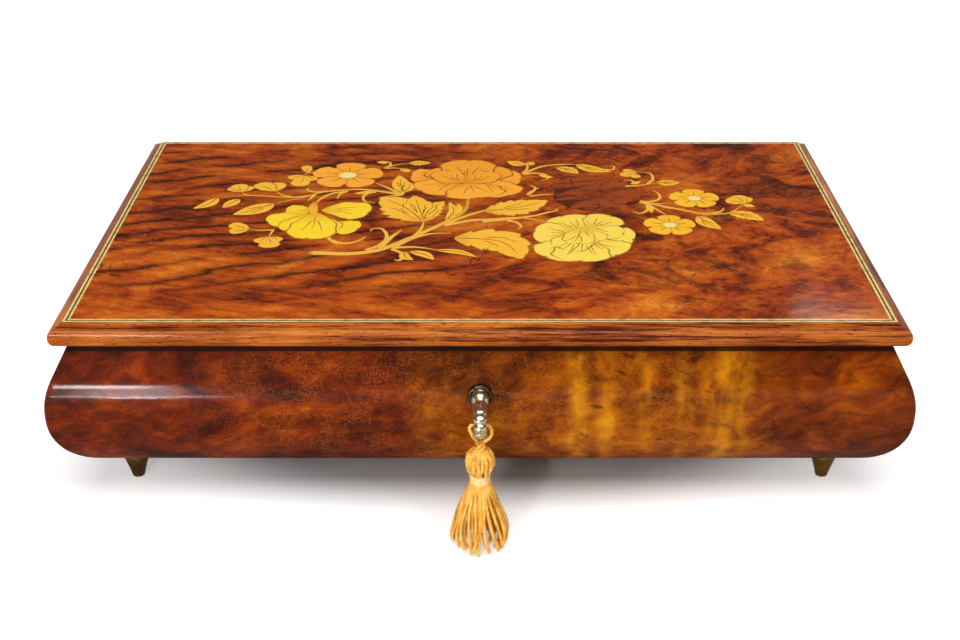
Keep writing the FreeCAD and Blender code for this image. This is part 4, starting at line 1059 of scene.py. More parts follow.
def mitres(side: Side) -> list[tuple[Point, Point]]:
    """Planes that cut one side out of a rectangular frame, through its corners at 45 degrees.

    Args:
        side: The side.

    Returns:
        The two planes, as sliced takes them.
    """
    near_left, near_right = (-HALF_WIDTH, FRONT, 0), (HALF_WIDTH, FRONT, 0)
    far_left, far_right = (-HALF_WIDTH, BACK, 0), (HALF_WIDTH, BACK, 0)
    return {
        Side.FRONT: [(near_left, (-1, 1, 0)), (near_right, (1, 1, 0))],
        Side.BACK: [(far_left, (-1, -1, 0)), (far_right, (1, -1, 0))],
        Side.LEFT: [(near_left, (1, -1, 0)), (far_left, (1, 1, 0))],
        Side.RIGHT: [(near_right, (-1, -1, 0)), (far_right, (-1, 1, 0))],
    }[side]


def leaf_seats(low: float, high: float) -> list[bpy.types.Object]:
    """Tools for the hinge leaves' seats in the back edge, between two heights."""
    return [block((x - 15, BACK - 8, low), (x + 15, BACK + 1, high)) for x in HINGES]


@dataclass
class Case:
    """Bowed case: base board, four walls and four turned feet."""

    rim_inset: float = 5.5
    bulge: float = 3.5
    straight: float = 2.0
    upper_round: float = 27.0
    lower_round: float = 28.0
    wall: float = 16.0
    back_wall: float = 8.0
    floor_height: float = 13.8
    corner_round: float = 1.1
    keyhole: float = 3.85
    winding_hole: float = 4.6
    winding_place: Place = (-115.75, 71.116)
    foot_places: tuple[Place, ...] = tuple((x, y) for x in (-129.0, 129.0) for y in (FRONT + 21, BACK - 21))
    foot: tuple[Place, ...] = (
        (0, 0), (1.7, 0.0), (2.15, 0.2), (2.38, 0.65), (2.5, 1.3), (3.0, 3.2), (3.55, 5.0), (4.05, 6.6),
        (4.4, 7.7), (4.6, 8.3), (4.68, 8.9), (4.7, 9.6), (4.5, 10.6), (0, 10.6),
    )

    def edge(self, steps: int = 22) -> list[Place]:
        """Profile of the bowed face, from the underside to the rim.

        Args:
            steps: Steps of each of its two rounds.

        Returns:
            Inset from the lid's edge and height of each point.
        """
        belly = CASE_BOTTOM + self.lower_round + self.straight
        along = self.upper_round - self.bulge - self.rim_inset
        rise = RIM - belly
        turn = math.atan2(rise, along) - math.acos(self.upper_round / math.hypot(along, rise))
        points = []
        for step in range(steps + 1):
            angle = math.pi / 2 * (1 - step / steps)
            inset = self.lower_round * (1 - math.cos(angle)) - self.bulge
            points.append((inset, belly - self.straight - self.lower_round * math.sin(angle)))
        for step in range(steps + 1):
            angle = turn * step / steps
            inset = self.upper_round * (1 - math.cos(angle)) - self.bulge
            points.append((inset, belly + self.upper_round * math.sin(angle)))
        points.append((self.rim_inset, RIM))
        return points

    def lock_room(self, front: float) -> list[bpy.types.Object]:
        """Tools for the lock's recess and the key's hole.

        Args:
            front: Where the room behind the front wall starts.

        Returns:
            The tools.
        """
        return [
            block((-15, front - 7, KEY_HEIGHT - 7.4), (15, front + 1, RIM + 1)),
            block((-18, front - 1.5, KEY_HEIGHT - 10.4), (18, front + 1, RIM + 1)),
            block((-18, front - 8, RIM - 1.5), (18, front + 1, RIM + 1)),
            drill(self.keyhole, (0, KEY_FACE - 9, KEY_HEIGHT), (0, front, KEY_HEIGHT)),
        ]

    def build(self) -> None:
        """Cut the walls and the base out of one bowed block, then turn the feet."""
        front, back, side = FRONT + self.wall, BACK - self.back_wall, HALF_WIDTH - self.wall
        whole = crossed(self.edge(), [(0.0, CASE_BOTTOM), (0.0, RIM)], "bowed_block")
        round_front_corners(whole, self.corner_round)
        floor = ((0, 0, self.floor_height), (0, 0, -1))
        behind = ((0, back, 0), (0, 1, 0))
        x, y = self.winding_place
        for node, finish, planes, tools in (
            (
                "front_wall", FRONT_VENEER, [floor, ((0, front, 0), (0, 1, 0)), *mitres(Side.FRONT)],
                self.lock_room(front)
            ),
            ("left_wall", SIDE_VENEER, [floor, behind, ((-side, 0, 0), (1, 0, 0)), mitres(Side.LEFT)[0]], ()),
            (
                "right_wall", SIDE_VENEER, [floor, behind, ((side, 0, 0), (-1, 0, 0)), mitres(Side.RIGHT)[0]],
                ()
            ),
            ("back_wall", FRONT_VENEER, [((0, back, 0), (0, -1, 0))], leaf_seats(RIM - 1.1, RIM + 1)),
            ("base_board", FRONT_VENEER, [((0, 0, self.floor_height), (0, 0, 1)), behind],
             [drill(self.winding_hole, (x, y, 0), (x, y, 20))]),
        ):
            piece = sliced(whole, node + "_veneered", planes)
            cut_away(piece, tools)
            finished(settled(piece), finish, "case", [node])
        bpy.data.objects.remove(whole)
        feet = [turned(self.foot, (x, y, 0), steps=40) for x, y in self.foot_places]
        finished(joined(feet, "turned_feet"), AGED_BRASS, "case", ["feet"])


# Lid

@dataclass
class Lid:
    """Moulded frame with mitred corners round a veneered panel and its three lines of stringing."""

    edge: tuple[Place, ...] = (
        (3.2, 64.0), (2.2, 64.1), (1.35, 64.55), (0.7, 65.25), (0.25, 66.15), (0.02, 67.2), (0.0, 68.2),
        (0.1, 69.05), (0.35, 69.75), (0.8, 70.25), (1.5, 70.65), (2.4, 71.0), (3.2, 71.25), (3.65, 71.45),
        (3.8, 71.8), (4.05, 72.15), (4.45, 72.38), (4.7, 72.4),
    )
    panel_inset: float = 4.6
    frame_width: float = 18.0
    panel_bottom: float = 67.4

    def room(self, inset: float, low: float) -> bpy.types.Object:
        """Block inset alike from every edge of the lid, from a height upwards, as a cutting tool.

        Args:
            inset: The inset in millimetres.
            low: Height of its underside.

        Returns:
            The block.
        """
        return block(
            (-HALF_WIDTH + inset, FRONT + inset, low), (HALF_WIDTH - inset, BACK - inset, LID_TOP + 1)
        )

    def build(self) -> None:
        """Run the moulding round, mitre it into four, and dress what it frames."""
        whole = crossed(self.edge, self.edge, "moulded_block")
        strike_seat = block((-18, FRONT + 8, LID_BOTTOM - 1), (18, FRONT + 16, LID_BOTTOM + 1.5))
        cut_away(whole, [
            self.room(self.panel_inset, self.panel_bottom), self.room(self.frame_width, LID_BOTTOM - 1),
            strike_seat, *leaf_seats(LID_BOTTOM - 1, LID_BOTTOM + 1.1),
        ])
        for side, finish in (
            (Side.FRONT, MOULDING), (Side.BACK, MOULDING), (Side.LEFT, MOULDING_DEEP),
            (Side.RIGHT, MOULDING_DEEP)
        ):
            node = f"lid_moulding_{side.value}"
            piece = sliced(whole, node + "_run", mitres(side))
            finished(settled(piece, 28), finish, "lid", [node])
        bpy.data.objects.remove(whole)
        LID_VENEER.dress_nodes("lid_veneer")
        BARE_WOOD.dress_nodes("lid_panel")
        LIGHT_STRING.dress_nodes("stringing_outer", "stringing_inner")
        DARK_STRING.dress_nodes("stringing_dark")


# Marquetry

class Cut(Enum):
    """Outlines that the fret saw follows."""

    STEM = "stem"
    PETAL = "petal"
    LEAF = "leaf"
    TOOTHED = "toothed"
    ROUND = "round"
    LINE = "line"


# Rows and columns of each outline's grid
GRIDS = {
    Cut.STEM: (12, 2), Cut.PETAL: (22, 6), Cut.LEAF: (22, 6), Cut.TOOTHED: (44, 6), Cut.ROUND: (22, 6),
    Cut.LINE: (10, 1),
}


def half_width(cut: Cut, share: float) -> float:
    """Half-width of a cut piece, as a part of its greatest half-width.

    Args:
        cut: Its outline.
        share: Share of its length.

    Returns:
        The half-width, from 0 to about 1.
    """
    ends = min(1.0, share / 0.03, (1 - share) / 0.03)
    if cut is Cut.STEM:
        return (0.35 + 0.65 * share) * math.sqrt(max(0.0, 1 - (1 - ends) ** 2))
    if cut is Cut.LINE:
        return (1.0 - 0.6 * share) * math.sqrt(max(0.0, ends))
    if cut is Cut.ROUND:
        return math.sqrt(max(0.0, 1 - (2 * share - 1) ** 2))
    if cut is Cut.PETAL:
        body = 1 - abs(2 * share ** 1.65 - 1) ** 2.3
        return max(0.0, body) ** 0.5 * (1 + 0.045 * math.sin(share * 19))
    body = math.sin(math.pi * share ** 0.82) ** 0.85 if 0 < share < 1 else 0.0
    if cut is Cut.LEAF:
        return body
    return body * (0.72 + 0.28 * ((share * 5.6) % 1.0) ** 0.6)


def smooth_path(points: Sequence[Place], steps: int) -> list[Vector]:
    """Smooth line through places.

    Args:
        points: The places.
        steps: Steps of the whole line.

    Returns:
        Points evenly spaced by share along it.
    """
    ends = [Vector(points[0]) * 2 - Vector(points[1])] + [Vector(point) for point in points]
    ends.append(Vector(points[-1]) * 2 - Vector(points[-2]))
    line = []
    for step in range(steps + 1):
        travel = step / steps * (len(points) - 1)
        index = min(int(travel), len(points) - 2)
        t = travel - index
        a, b, c, d = ends[index:index + 4]
        line.append(
            0.5 * (
                2 * b + (c - a) * t + (2 * a - 5 * b + 4 * c - d) * t ** 2 + (3 * b - a - 3 * c + d) * t ** 3
            )
        )
    return line


@dataclass
class Sawn:
    """One piece of veneer sawn to an outline along a line.

    The line runs from root to tip in lid millimetres. A layer sets which of two pieces that meet lies on top.
    Tone runs from 0, darker, to 1. proud is how far the lowest layer stands above the lid, and layer_rise and
    stack_rise are what each layer and each piece laid before it add, in millimetres.
    """

    line: Sequence[Place]
    width: float
    cut: Cut
    layer: int = 1
    tone: float = 0.7
    bend: float = 0.0
    notch: float = 0.0
    proud: float = 0.02
    layer_rise: float = 0.008
    stack_rise: float = 0.0006

    def spine(self, steps: int) -> list[Vector]:
        """Smooth middle line; a bend bows a straight one sideways.

        Args:
            steps: Steps of the line.

        Returns:
            Points along it.
        """
        points = list(self.line)
        if self.bend and len(points) == 2:
            first, last = (Vector(point) for point in points)
            away = (last - first).orthogonal() * self.bend
            points.insert(1, tuple((first + last) / 2 + away))
        return smooth_path(points, steps)

    def at(self, spine: Sequence[Vector], share: float, across: float) -> Vector:
        """Place on the piece.

        Args:
            spine: Its middle line.
            share: Share of its length.
            across: From -1 to 1 across it.

        Returns:
            The place on the lid.
        """
        reach = share * (1 - self.notch * (1 - abs(across)) ** 2 * share ** 8)
        travel = reach * (len(spine) - 1)
        index = min(int(travel), len(spine) - 2)
        centre = spine[index].lerp(spine[index + 1], travel - index)
        ahead = (spine[min(index + 2, len(spine) - 1)] - spine[max(index - 1, 0)]).normalized()
        side = Vector((-ahead.y, ahead.x))
        return centre + side * (across * half_width(self.cut, share) * self.width / 2)

    def build(self, place_in_stack: int) -> bpy.types.Object:
        """Lay a grid over the outline, with its own map and tone.

        Args:
            place_in_stack: How many pieces were laid before it.

        Returns:
            The piece, still without thickness.
        """
        rows, columns = GRIDS[self.cut]
        if self.cut is Cut.STEM:
            rows += 5 * len(self.line)
        length = sum((Vector(b) - Vector(a)).length for a, b in zip(self.line, self.line[1:]))
        spine = self.spine(max(24, int(length)))
        height = LID_TOP + self.proud + self.layer_rise * self.layer + self.stack_rise * place_in_stack
        bpy.ops.mesh.primitive_grid_add(
            x_subdivisions=rows, y_subdivisions=columns, size=1, location=(0, 0, 0)
        )
        made = bpy.context.object
        for vertex in made.data.vertices:
            place = self.at(spine, vertex.co.x + 0.5, 2 * vertex.co.y)
            vertex.co = Vector((place.x, place.y, height)) * MM
        tones = made.data.attributes.new("tone", "FLOAT", "POINT")
        tones.data.foreach_set("value", [self.tone] * len(made.data.vertices))
        return made

    def veins(self, places: Sequence[Point], width: float) -> list["Sawn"]:
        """Engraved lines on the piece.

        Args:
            places: For each line, how far across it ends, and the shares where it starts and ends.
            width: Width of a line in millimetres.

        Returns:
            The lines.
        """
        spine = self.spine(24)
        made = []
        for across, start, end in places:
            line = []
            for step in range(5):
                share = start + (end - start) * step / 4
                line.append(tuple(self.at(spine, share, across * (0.35 + 0.65 * step / 4))))
            made.append(Sawn(line, width, Cut.LINE, self.layer + 1))
        return made


class Wood(Enum):
    """Veneers of the small rosettes."""

    ORANGE = "orange"
    GOLD = "gold"


Petal = tuple[Place, Place, float, int, float, float]


@dataclass
class Marquetry:
    """Spray of traditional flowers and leaves, sawn from dyed veneers and let into the lid.

    Each table has places on the lid in millimetres: stems have their width and line; leaves root, tip, width,
    cut and bend; buds root, tip and width; petals root, tip, width, layer, tone and bend; and rosettes
    centre, length and width of a petal, radius of the heart, and wood. Each pattern of veins has lines as
    Sawn.veins takes them.
    """

    thickness: float = 0.25
    petal_notch: float = 0.05
    rosette_turns: tuple[float, ...] = (86, 14, 304, 232, 160)
    vein_width: float = 0.38
    wide_petal: float = 15.0
    wide_leaf: float = 7.0
    narrow_leaf: float = 4.0
    petal_veins: tuple[Point, ...] = ((0.42, 0.3, 0.7), (-0.42, 0.3, 0.7), (0.0, 0.22, 0.62))
    leaf_veins: tuple[Point, ...] = ((0.0, 0.04, 0.86), (0.5, 0.3, 0.62), (-0.5, 0.3, 0.62))
    narrow_leaf_veins: tuple[Point, ...] = ((0.0, 0.06, 0.8),)
    bud_veins: tuple[Point, ...] = ((0.15, 0.2, 0.7),)
    stems: tuple[tuple[float, tuple[Place, ...]], ...] = (
        (3.6, ((-4.7, 36.3), (-6.2, 21.4), (-12.7, 10.7), (-19.9, 1.4), (-29.1, -9.1), (-38.9, -18.8),
               (-50.4, -22.4), (-67.0, -21.3))),
        (2.2, ((6.2, 24.2), (2.1, 21.4), (-6.2, 15.0), (-15.1, 5.1))),
        (2.6, ((31.6, 6.5), (17.0, 13.5), (6.1, 12.2), (-3.7, 10.7), (-15.1, 5.1))),
        (2.3, ((30.9, 23.6), (31.4, 21.4), (27.5, 19.2), (21.6, 15.6), (11.6, 12.2), (0.0, 9.3))),
        (2.0, ((15.0, 1.8), (16.3, 4.5), (14.8, 8.6), (10.7, 10.7))),
        (2.6, ((-10.9, -2.3), (-19.7, -3.1), (-27.5, -8.7), (-34.3, -17.5))),
        (2.0, ((-22.5, 11.8), (-23.5, 1.4), (-27.5, -9.1))),
        (2.2, ((-43.4, -0.6), (-42.3, 2.4), (-38.5, 1.4), (-36.5, -6.7), (-39.2, -14.6), (-44.4, -19.4))),
        (3.0, ((-31.0, 1.0), (-34.9, -6.7), (-39.0, -17.5))),
        (2.2, ((-15.3, -19.4), (-24.9, -16.1), (-34.3, -16.9))),
        (2.2, ((-27.0, -21.3), (-30.1, -21.3), (-34.2, -17.8))),
        (2.4, ((-32.5, -27.9), (-30.6, -28.8), (-29.2, -25.1), (-30.1, -21.3))),
        (2.2, ((-85.0, 28.7), (-73.9, 35.8), (-65.1, 42.2), (-51.5, 45.0), (-41.9, 42.7), (-32.6, 38.6))),
        (2.2, ((-67.9, 26.4), (-66.5, 33.6), (-62.3, 39.9), (-56.5, 42.7))),
        (1.5, ((-109.4, 35.4), (-96.5, 38.1), (-83.4, 36.3), (-76.6, 36.3), (-69.9, 38.6))),
        (1.2, ((-100.1, 42.0), (-98.2, 39.0), (-96.0, 37.9))),
        (1.4, ((-86.0, 43.2), (-82.8, 38.6), (-78.3, 36.5))),
        (2.0, ((-72.5, 46.9), (-72.6, 43.9), (-69.4, 42.0), (-63.5, 42.7))),
        (2.0, ((-71.4, 31.8), (-70.1, 35.8), (-69.1, 39.0))),
        (1.9, ((-59.4, 34.2), (-58.7, 39.2), (-55.7, 43.2))),
        (2.0, ((-43.2, 30.0), (-47.5, 31.3), (-48.7, 36.3), (-46.9, 40.4), (-43.6, 42.2))),
        (1.9, ((-44.7, 52.8), (-39.1, 46.9), (-33.1, 39.2))),
        (2.0, ((-42.3, 35.4), (-38.1, 37.2), (-33.0, 38.6), (-32.5, 42.7))),
        (1.3, ((-75.9, 61.7), (-74.4, 64.7), (-70.9, 65.4))),
        (1.4, ((-34.5, 69.6), (-37.3, 70.6), (-41.7, 70.1))),
        (1.6, ((-44.4, 77.4), (-40.4, 78.2), (-39.3, 74.6), (-41.7, 70.1))),
        (1.2, ((-31.2, 76.7), (-36.6, 74.6), (-41.3, 71.1))),
        (1.3, ((-91.3, 1.4), (-87.2, 0.6), (-81.9, 1.0))),
        (1.3, ((-82.9, -6.3), (-82.3, -2.3), (-81.8, 1.4))),
        (2.0, ((-55.1, -14.2), (-58.2, -9.7), (-59.9, -5.1))),
        (2.2, ((-44.9, -5.7), (-46.3, -8.7), (-49.7, -11.8), (-54.4, -12.2), (-58.3, -9.1))),
        (1.8, ((43.4, 74.9), (36.2, 75.1), (27.0, 72.4), (18.2, 62.9))),
        (1.5, ((17.3, 77.9), (20.1, 75.6), (20.7, 70.4), (18.2, 62.9))),
        (1.9, ((25.1, 54.9), (29.1, 57.3), (28.4, 62.4), (24.1, 64.2), (18.2, 62.9))),
        (1.6, ((56.7, 73.6), (58.7, 72.1), (57.8, 68.6), (53.8, 69.1))),
        (1.8, ((75.4, 52.5), (68.1, 49.7), (61.4, 48.5))),
        (1.7, ((68.3, 65.9), (73.5, 64.2), (74.2, 56.9), (71.0, 50.9))),
        (1.6, ((61.6, 55.7), (64.7, 55.7), (66.1, 52.1))),
        (1.9, ((109.3, 29.1), (104.8, 22.5), (100.0, 18.2), (91.6, 17.7), (83.7, 21.4), (71.9, 28.0),
               (65.0, 31.8))),
        (2.2, ((72.6, 45.0), (75.0, 39.2), (74.2, 33.6), (69.6, 30.9), (65.0, 31.8))),
        (2.2, ((62.2, 19.7), (65.0, 18.2), (68.2, 21.4), (68.9, 28.0), (65.0, 31.8))),
        (1.4, ((80.5, 29.5), (71.9, 28.7), (65.0, 31.8))),
        (1.4, ((75.9, 15.6), (72.8, 21.4), (67.9, 30.9))),
        (1.3, ((84.4, 23.6), (78.1, 23.6), (71.9, 28.0))),
        (1.8, ((100.1, 24.2), (98.2, 20.3), (94.2, 18.2))),
        (2.0, ((20.8, 50.2), (23.4, 46.0), (19.7, 38.1))),
        (1.8, ((25.2, 46.9), (21.4, 42.4), (20.1, 38.6))),
        (1.6, ((31.4, 39.2), (26.0, 38.8), (20.6, 37.2))),
    )
    leaves: tuple[tuple[Place, Place, float, Cut, float], ...] = (
        ((-22.7, 9.7), (-41.5, 36.3), 25.0, Cut.TOOTHED, -0.06),
        ((-22.7, 9.7), (-14.8, 31.6), 13.0, Cut.TOOTHED, 0.1),
        ((-22.5, 10.5), (-27.5, 38.0), 16.0, Cut.TOOTHED, 0.0),
        ((2.1, 20.3), (28.3, 32.4), 18.0, Cut.TOOTHED, -0.05),
        ((-10.2, -7.2), (16.2, -27.5), 24.0, Cut.TOOTHED, 0.25),
        ((-16.9, -19.0), (-1.1, -25.6), 4.2, Cut.LEAF, 0.1),
        ((-27.0, -20.3), (-17.4, -28.3), 5.0, Cut.LEAF, 0.12),
        ((-29.0, -21.3), (-25.2, -28.3), 4.5, Cut.LEAF, -0.2),
        ((-109.1, 35.2), (-117.5, 23.2), 6.0, Cut.LEAF, 0.1),
        ((-100.0, 34.0), (-105.5, 24.2), 6.5, Cut.TOOTHED, 0.0),
        ((-85.1, 29.1), (-100.3, 16.7), 10.0, Cut.LEAF, 0.05),
        ((-32.5, 41.5), (-38.1, 55.7), 5.0, Cut.LEAF, -0.15),
        ((-32.7, 41.5), (-34.8, 61.7), 8.0, Cut.LEAF, 0.0),
        ((-32.5, 41.5), (-31.1, 54.5), 5.0, Cut.LEAF, -0.15),
        ((-44.0, 42.5), (-52.9, 39.9), 3.6, Cut.LEAF, 0.0),
        ((-13.6, 10.7), (-12.7, 30.7), 4.6, Cut.LEAF, -0.12),
        ((-10.8, 16.0), (-9.0, 29.1), 3.4, Cut.LEAF, -0.1),
        ((-31.4, 76.7), (-21.5, 77.2), 6.5, Cut.TOOTHED, 0.0),
        ((-40.3, 77.4), (-45.6, 78.0), 3.6, Cut.LEAF, 0.0),
        ((42.5, 75.4), (57.2, 66.1), 7.5, Cut.LEAF, -0.1),
        ((33.3, 71.1), (42.7, 63.7), 7.5, Cut.TOOTHED, 0.1),
        ((19.4, 73.6), (12.0, 79.2), 6.0, Cut.LEAF, 0.0),
        ((25.8, 63.7), (31.6, 58.5), 3.6, Cut.LEAF, -0.1),
        ((75.2, 52.5), (85.6, 52.8), 7.5, Cut.TOOTHED, 0.0),
        ((64.3, 50.9), (68.7, 54.5), 3.0, Cut.LEAF, 0.0),
        ((101.1, 19.2), (114.2, 10.5), 9.5, Cut.TOOTHED, 0.08),
        ((88.4, 15.6), (95.8, 1.4), 7.5, Cut.LEAF, -0.08),
        ((108.6, 28.0), (112.9, 25.4), 3.4, Cut.LEAF, 0.0),
        ((69.4, 29.1), (69.9, 18.6), 3.2, Cut.LEAF, 0.0),
    )
    buds: tuple[tuple[Place, Place, float], ...] = (
        ((-99.6, 42.0), (-106.3, 46.9), 5.0), ((-99.8, 42.0), (-103.1, 50.9), 7.5),
        ((-99.2, 42.2), (-96.6, 48.4), 4.0),
        ((-85.9, 42.7), (-94.5, 52.1), 9.0), ((-85.7, 42.9), (-86.4, 53.0), 8.0),
        ((-75.9, 61.7), (-82.5, 58.1), 5.0), ((-75.8, 61.2), (-77.1, 48.5), 8.5),
        ((-75.2, 61.2), (-70.6, 55.6), 5.0),
        ((-74.4, 64.7), (-76.4, 73.6), 5.0), ((-91.4, 1.8), (-99.8, 7.0), 6.5),
        ((-91.7, 1.0), (-99.2, -0.8), 6.0),
        ((-82.9, -6.3), (-87.4, -11.6), 5.0), ((-82.6, -6.3), (-81.3, -16.9), 8.5),
        ((-82.4, -6.3), (-77.6, -10.0), 5.0),
        ((-35.0, 69.9), (-30.6, 66.2), 4.0), ((20.6, 73.6), (23.4, 77.6), 4.0),
        ((68.1, 64.2), (60.6, 61.6), 5.5),
        ((68.0, 65.4), (62.2, 67.8), 4.5), ((66.8, 63.6), (67.4, 58.4), 4.5),
        ((110.1, 29.1), (102.2, 33.6), 7.5),
        ((109.7, 29.1), (106.8, 38.0), 7.5), ((110.4, 29.6), (111.6, 36.0), 4.5),
    )
    nodding: tuple[Petal, ...] = (
        ((-64.8, 21.4), (-44.8, 19.2), 19, 1, 0.8, 0.08), ((-60.3, 8.6), (-48.2, 1.8), 15, 1, 0.75, -0.05),
        ((-68.2, 21.4), (-79.5, 21.4), 12, 1, 0.65, 0.0), ((-70.4, 18.2), (-85.4, 8.6), 15, 3, 0.85, 0.05),
        ((-67.1, 19.2), (-77.7, -0.6), 17, 5, 0.8, 0.12), ((-66.4, 18.2), (-59.0, -1.7), 17, 5, 0.75, -0.1),
        ((-66.9, 19.2), (-67.5, -8.7), 20, 7, 0.95, 0.03),
    )
    rose: tuple[Petal, ...] = (
        ((-17.2, 60.5), (-29.9, 61.7), 17, 1, 0.55, 0.0), ((-8.3, 53.3), (-25.2, 42.7), 20, 3, 0.75, -0.05),
        ((0.5, 56.9), (18.0, 57.3), 19, 1, 0.6, 0.05), ((-1.3, 53.3), (12.2, 37.6), 20, 3, 0.75, 0.08),
        ((-5.2, 53.3), (-0.4, 34.9), 26, 5, 0.9, 0.0), ((-4.8, 54.5), (8.8, 72.9), 22, 7, 0.3, 0.0),
        ((-6.5, 54.5), (-17.7, 71.6), 22, 7, 0.25, 0.0), ((-5.7, 53.3), (-5.0, 80.8), 25, 9, 0.35, 0.0),
        ((-6.1, 52.5), (-14.3, 67.9), 17, 11, 0.5, 0.12), ((-5.7, 52.5), (2.3, 66.6), 17, 11, 0.45, -0.12),
    )
    pale_rose: tuple[Petal, ...] = (
        ((40.5, -0.6), (32.8, 15.6), 20, 1, 0.75, 0.0), ((43.0, 1.4), (53.5, 15.6), 17, 1, 0.6, 0.0),
        ((43.7, -1.7), (60.5, -8.7), 22, 3, 0.9, -0.05), ((38.8, -1.7), (21.1, -0.6), 21, 3, 0.8, 0.05),
        ((38.5, -6.7), (24.7, -26.0), 22, 5, 0.85, 0.06), ((41.6, -7.7), (52.4, -24.5), 25, 5, 0.95, -0.05),
        ((40.4, -7.7), (37.9, -30.1), 23, 7, 0.9, 0.0), ((39.0, 1.4), (30.4, -17.5), 17, 9, 0.9, 0.15),
        ((43.3, 5.1), (56.9, -3.1), 14, 9, 0.85, -0.1), ((40.7, 3.0), (46.6, -11.0), 14, 11, 0.75, -0.08),
        ((40.1, 3.4), (37.9, -13.6), 13, 13, 0.7, 0.0),
    )
    shadow_rose: tuple[Petal, ...] = (
        ((48.1, 39.2), (35.3, 57.3), 20, 1, 0.4, 0.0), ((49.1, 40.4), (49.7, 61.0), 22, 1, 0.5, 0.0),
        ((49.9, 40.4), (64.5, 48.5), 20, 3, 0.6, 0.0), ((49.8, 38.6), (67.6, 36.3), 20, 5, 0.5, 0.0),
        ((48.9, 37.6), (53.8, 24.2), 22, 3, 0.4, 0.0), ((47.6, 37.6), (35.4, 25.8), 22, 5, 0.6, 0.0),
        ((47.3, 39.0), (30.9, 37.6), 20, 7, 0.5, 0.0),
    )
    rosettes: tuple[tuple[Place, float, float, float, Wood], ...] = (
        ((-57.2, 61.7), 15.6, 13.5, 3.9, Wood.ORANGE), ((89.1, 34.7), 10.6, 9.6, 2.8, Wood.GOLD),
        ((75.7, 5.9), 10.6, 9.6, 2.8, Wood.GOLD),
    )

    def petals(self, rows: Iterable[Petal]) -> list[Sawn]:
        """Turn rows of sizes into sawn petals.

        Args:
            rows: Sizes as in the tables.

        Returns:
            The petals.
        """
        return [
            Sawn((root, tip), width, Cut.PETAL, layer, tone, bend, self.petal_notch)
            for root, tip, width, layer, tone, bend in rows
        ]

    def rosette(self, centre: Place, length: float, width: float) -> list[Sawn]:
        """Five petals round a centre.

        Args:
            centre: The centre.
            length: Distance from it to a petal's tip.
            width: A petal's width.

        Returns:
            The petals.
        """
        made = []
        for index, turn in enumerate(self.rosette_turns):
            ahead = Vector((math.cos(math.radians(turn)), math.sin(math.radians(turn))))
            root, tip = Vector(centre) + ahead, Vector(centre) + ahead * length
            made.append(
                Sawn((tuple(root), tuple(tip)), width, Cut.PETAL, 1 + 2 * (index % 2), 0.6 + 0.08 * index)
            )
        return made

    def lay(self, pieces: Sequence[Sawn], finish: Finish, name: str) -> None:
        """Build sawn pieces of one veneer, give them thickness and let them in.

        Args:
            pieces: The pieces, from the lowest to the highest.
            finish: Their veneer.
            name: The group's name.
        """
        group = joined([piece.build(index) for index, piece in enumerate(pieces)], name)
        modified(group, "SOLIDIFY", thickness=self.thickness * MM, offset=-1.0)
        finished(group, finish, "lid")

    def build(self) -> None:
        """Saw and lay every piece, wood by wood, then engrave the veins."""
        stems = [Sawn(line, width, Cut.STEM, 1, 0.6) for width, line in self.stems]
        leaves = [Sawn((root, tip), width, cut, 2, 0.55, bend) for root, tip, width, cut, bend in self.leaves]
        buds = [
            Sawn((root, tip), width, Cut.PETAL, 3 + index % 2, 0.5)
            for index, (root, tip, width) in enumerate(self.buds)
        ]
        rosettes, hearts = {wood: [] for wood in Wood}, []
        for (x, y), length, width, heart, wood in self.rosettes:
            rosettes[wood] += self.rosette((x, y), length, width)
            hearts.append(Sawn(((x - heart, y), (x + heart, y)), 2 * heart, Cut.ROUND, 6, 0.9))
        nodding, rose, pale_rose, shadow_rose = (
            self.petals(rows) for rows in (self.nodding, self.rose, self.pale_rose, self.shadow_rose)
        )
        calyx = Sawn(((-68.6, 30.5), (-66.0, 13.0)), 4.2, Cut.LEAF, 10, 0.3, -0.05)
        for name, pieces, finish in (
            ("stems", stems, Inlay("dyed_maple_gold", "#F6BE48", "#CB8A26")),
            ("leaves", leaves + buds, Inlay("scorched_pear_leaf", "#FFC43E", "#DE9A2E", scorch_end=0.25)),
            ("nodding_flower", nodding, Inlay("dyed_maple_yellow", "#FFD630", "#E0A018", scorch_end=0.5)),
            ("pale_rose", pale_rose, Inlay("dyed_maple_pale_yellow", "#FFDC58", "#E0A62C", scorch_end=0.55)),
            ("orange_flowers", rose + rosettes[Wood.ORANGE],
             Inlay("dyed_maple_orange", "#FFAE34", "#E08424", scorch_end=0.5)),
            ("small_flowers", rosettes[Wood.GOLD] + [calyx], Inlay("dyed_maple_amber", "#FFC030", "#DC9420")),
            ("hearts", hearts, Inlay("natural_holly", "#F6E58A", "#E3C55A", scorch_end=0.2)),
            ("shadow_rose", shadow_rose, Inlay("dark_padauk", "#A44A1A", "#7A300E", "#3A1206", 0.5, 0.85)),
        ):
            self.lay(pieces, finish, "inlay_" + name)

        lines = []
        for petal in nodding + rose + pale_rose + rosettes[Wood.ORANGE] + rosettes[Wood.GOLD]:
            wide = petal.width > self.wide_petal
            lines += petal.veins(self.petal_veins if wide else self.petal_veins[2:], self.vein_width)
        for leaf in leaves:
            if leaf.width > self.narrow_leaf:
                wide = leaf.width > self.wide_leaf
                lines += leaf.veins(self.leaf_veins if wide else self.narrow_leaf_veins, self.vein_width)
        for bud in buds:
            lines += bud.veins(self.bud_veins, self.vein_width * 0.8)
        self.lay(lines, Inlay("scorched_line", "#7A3C0C", "#5E2C08", "#4A2006", 0.1), "engraved_veins")


# Lock, key and keyhole ring

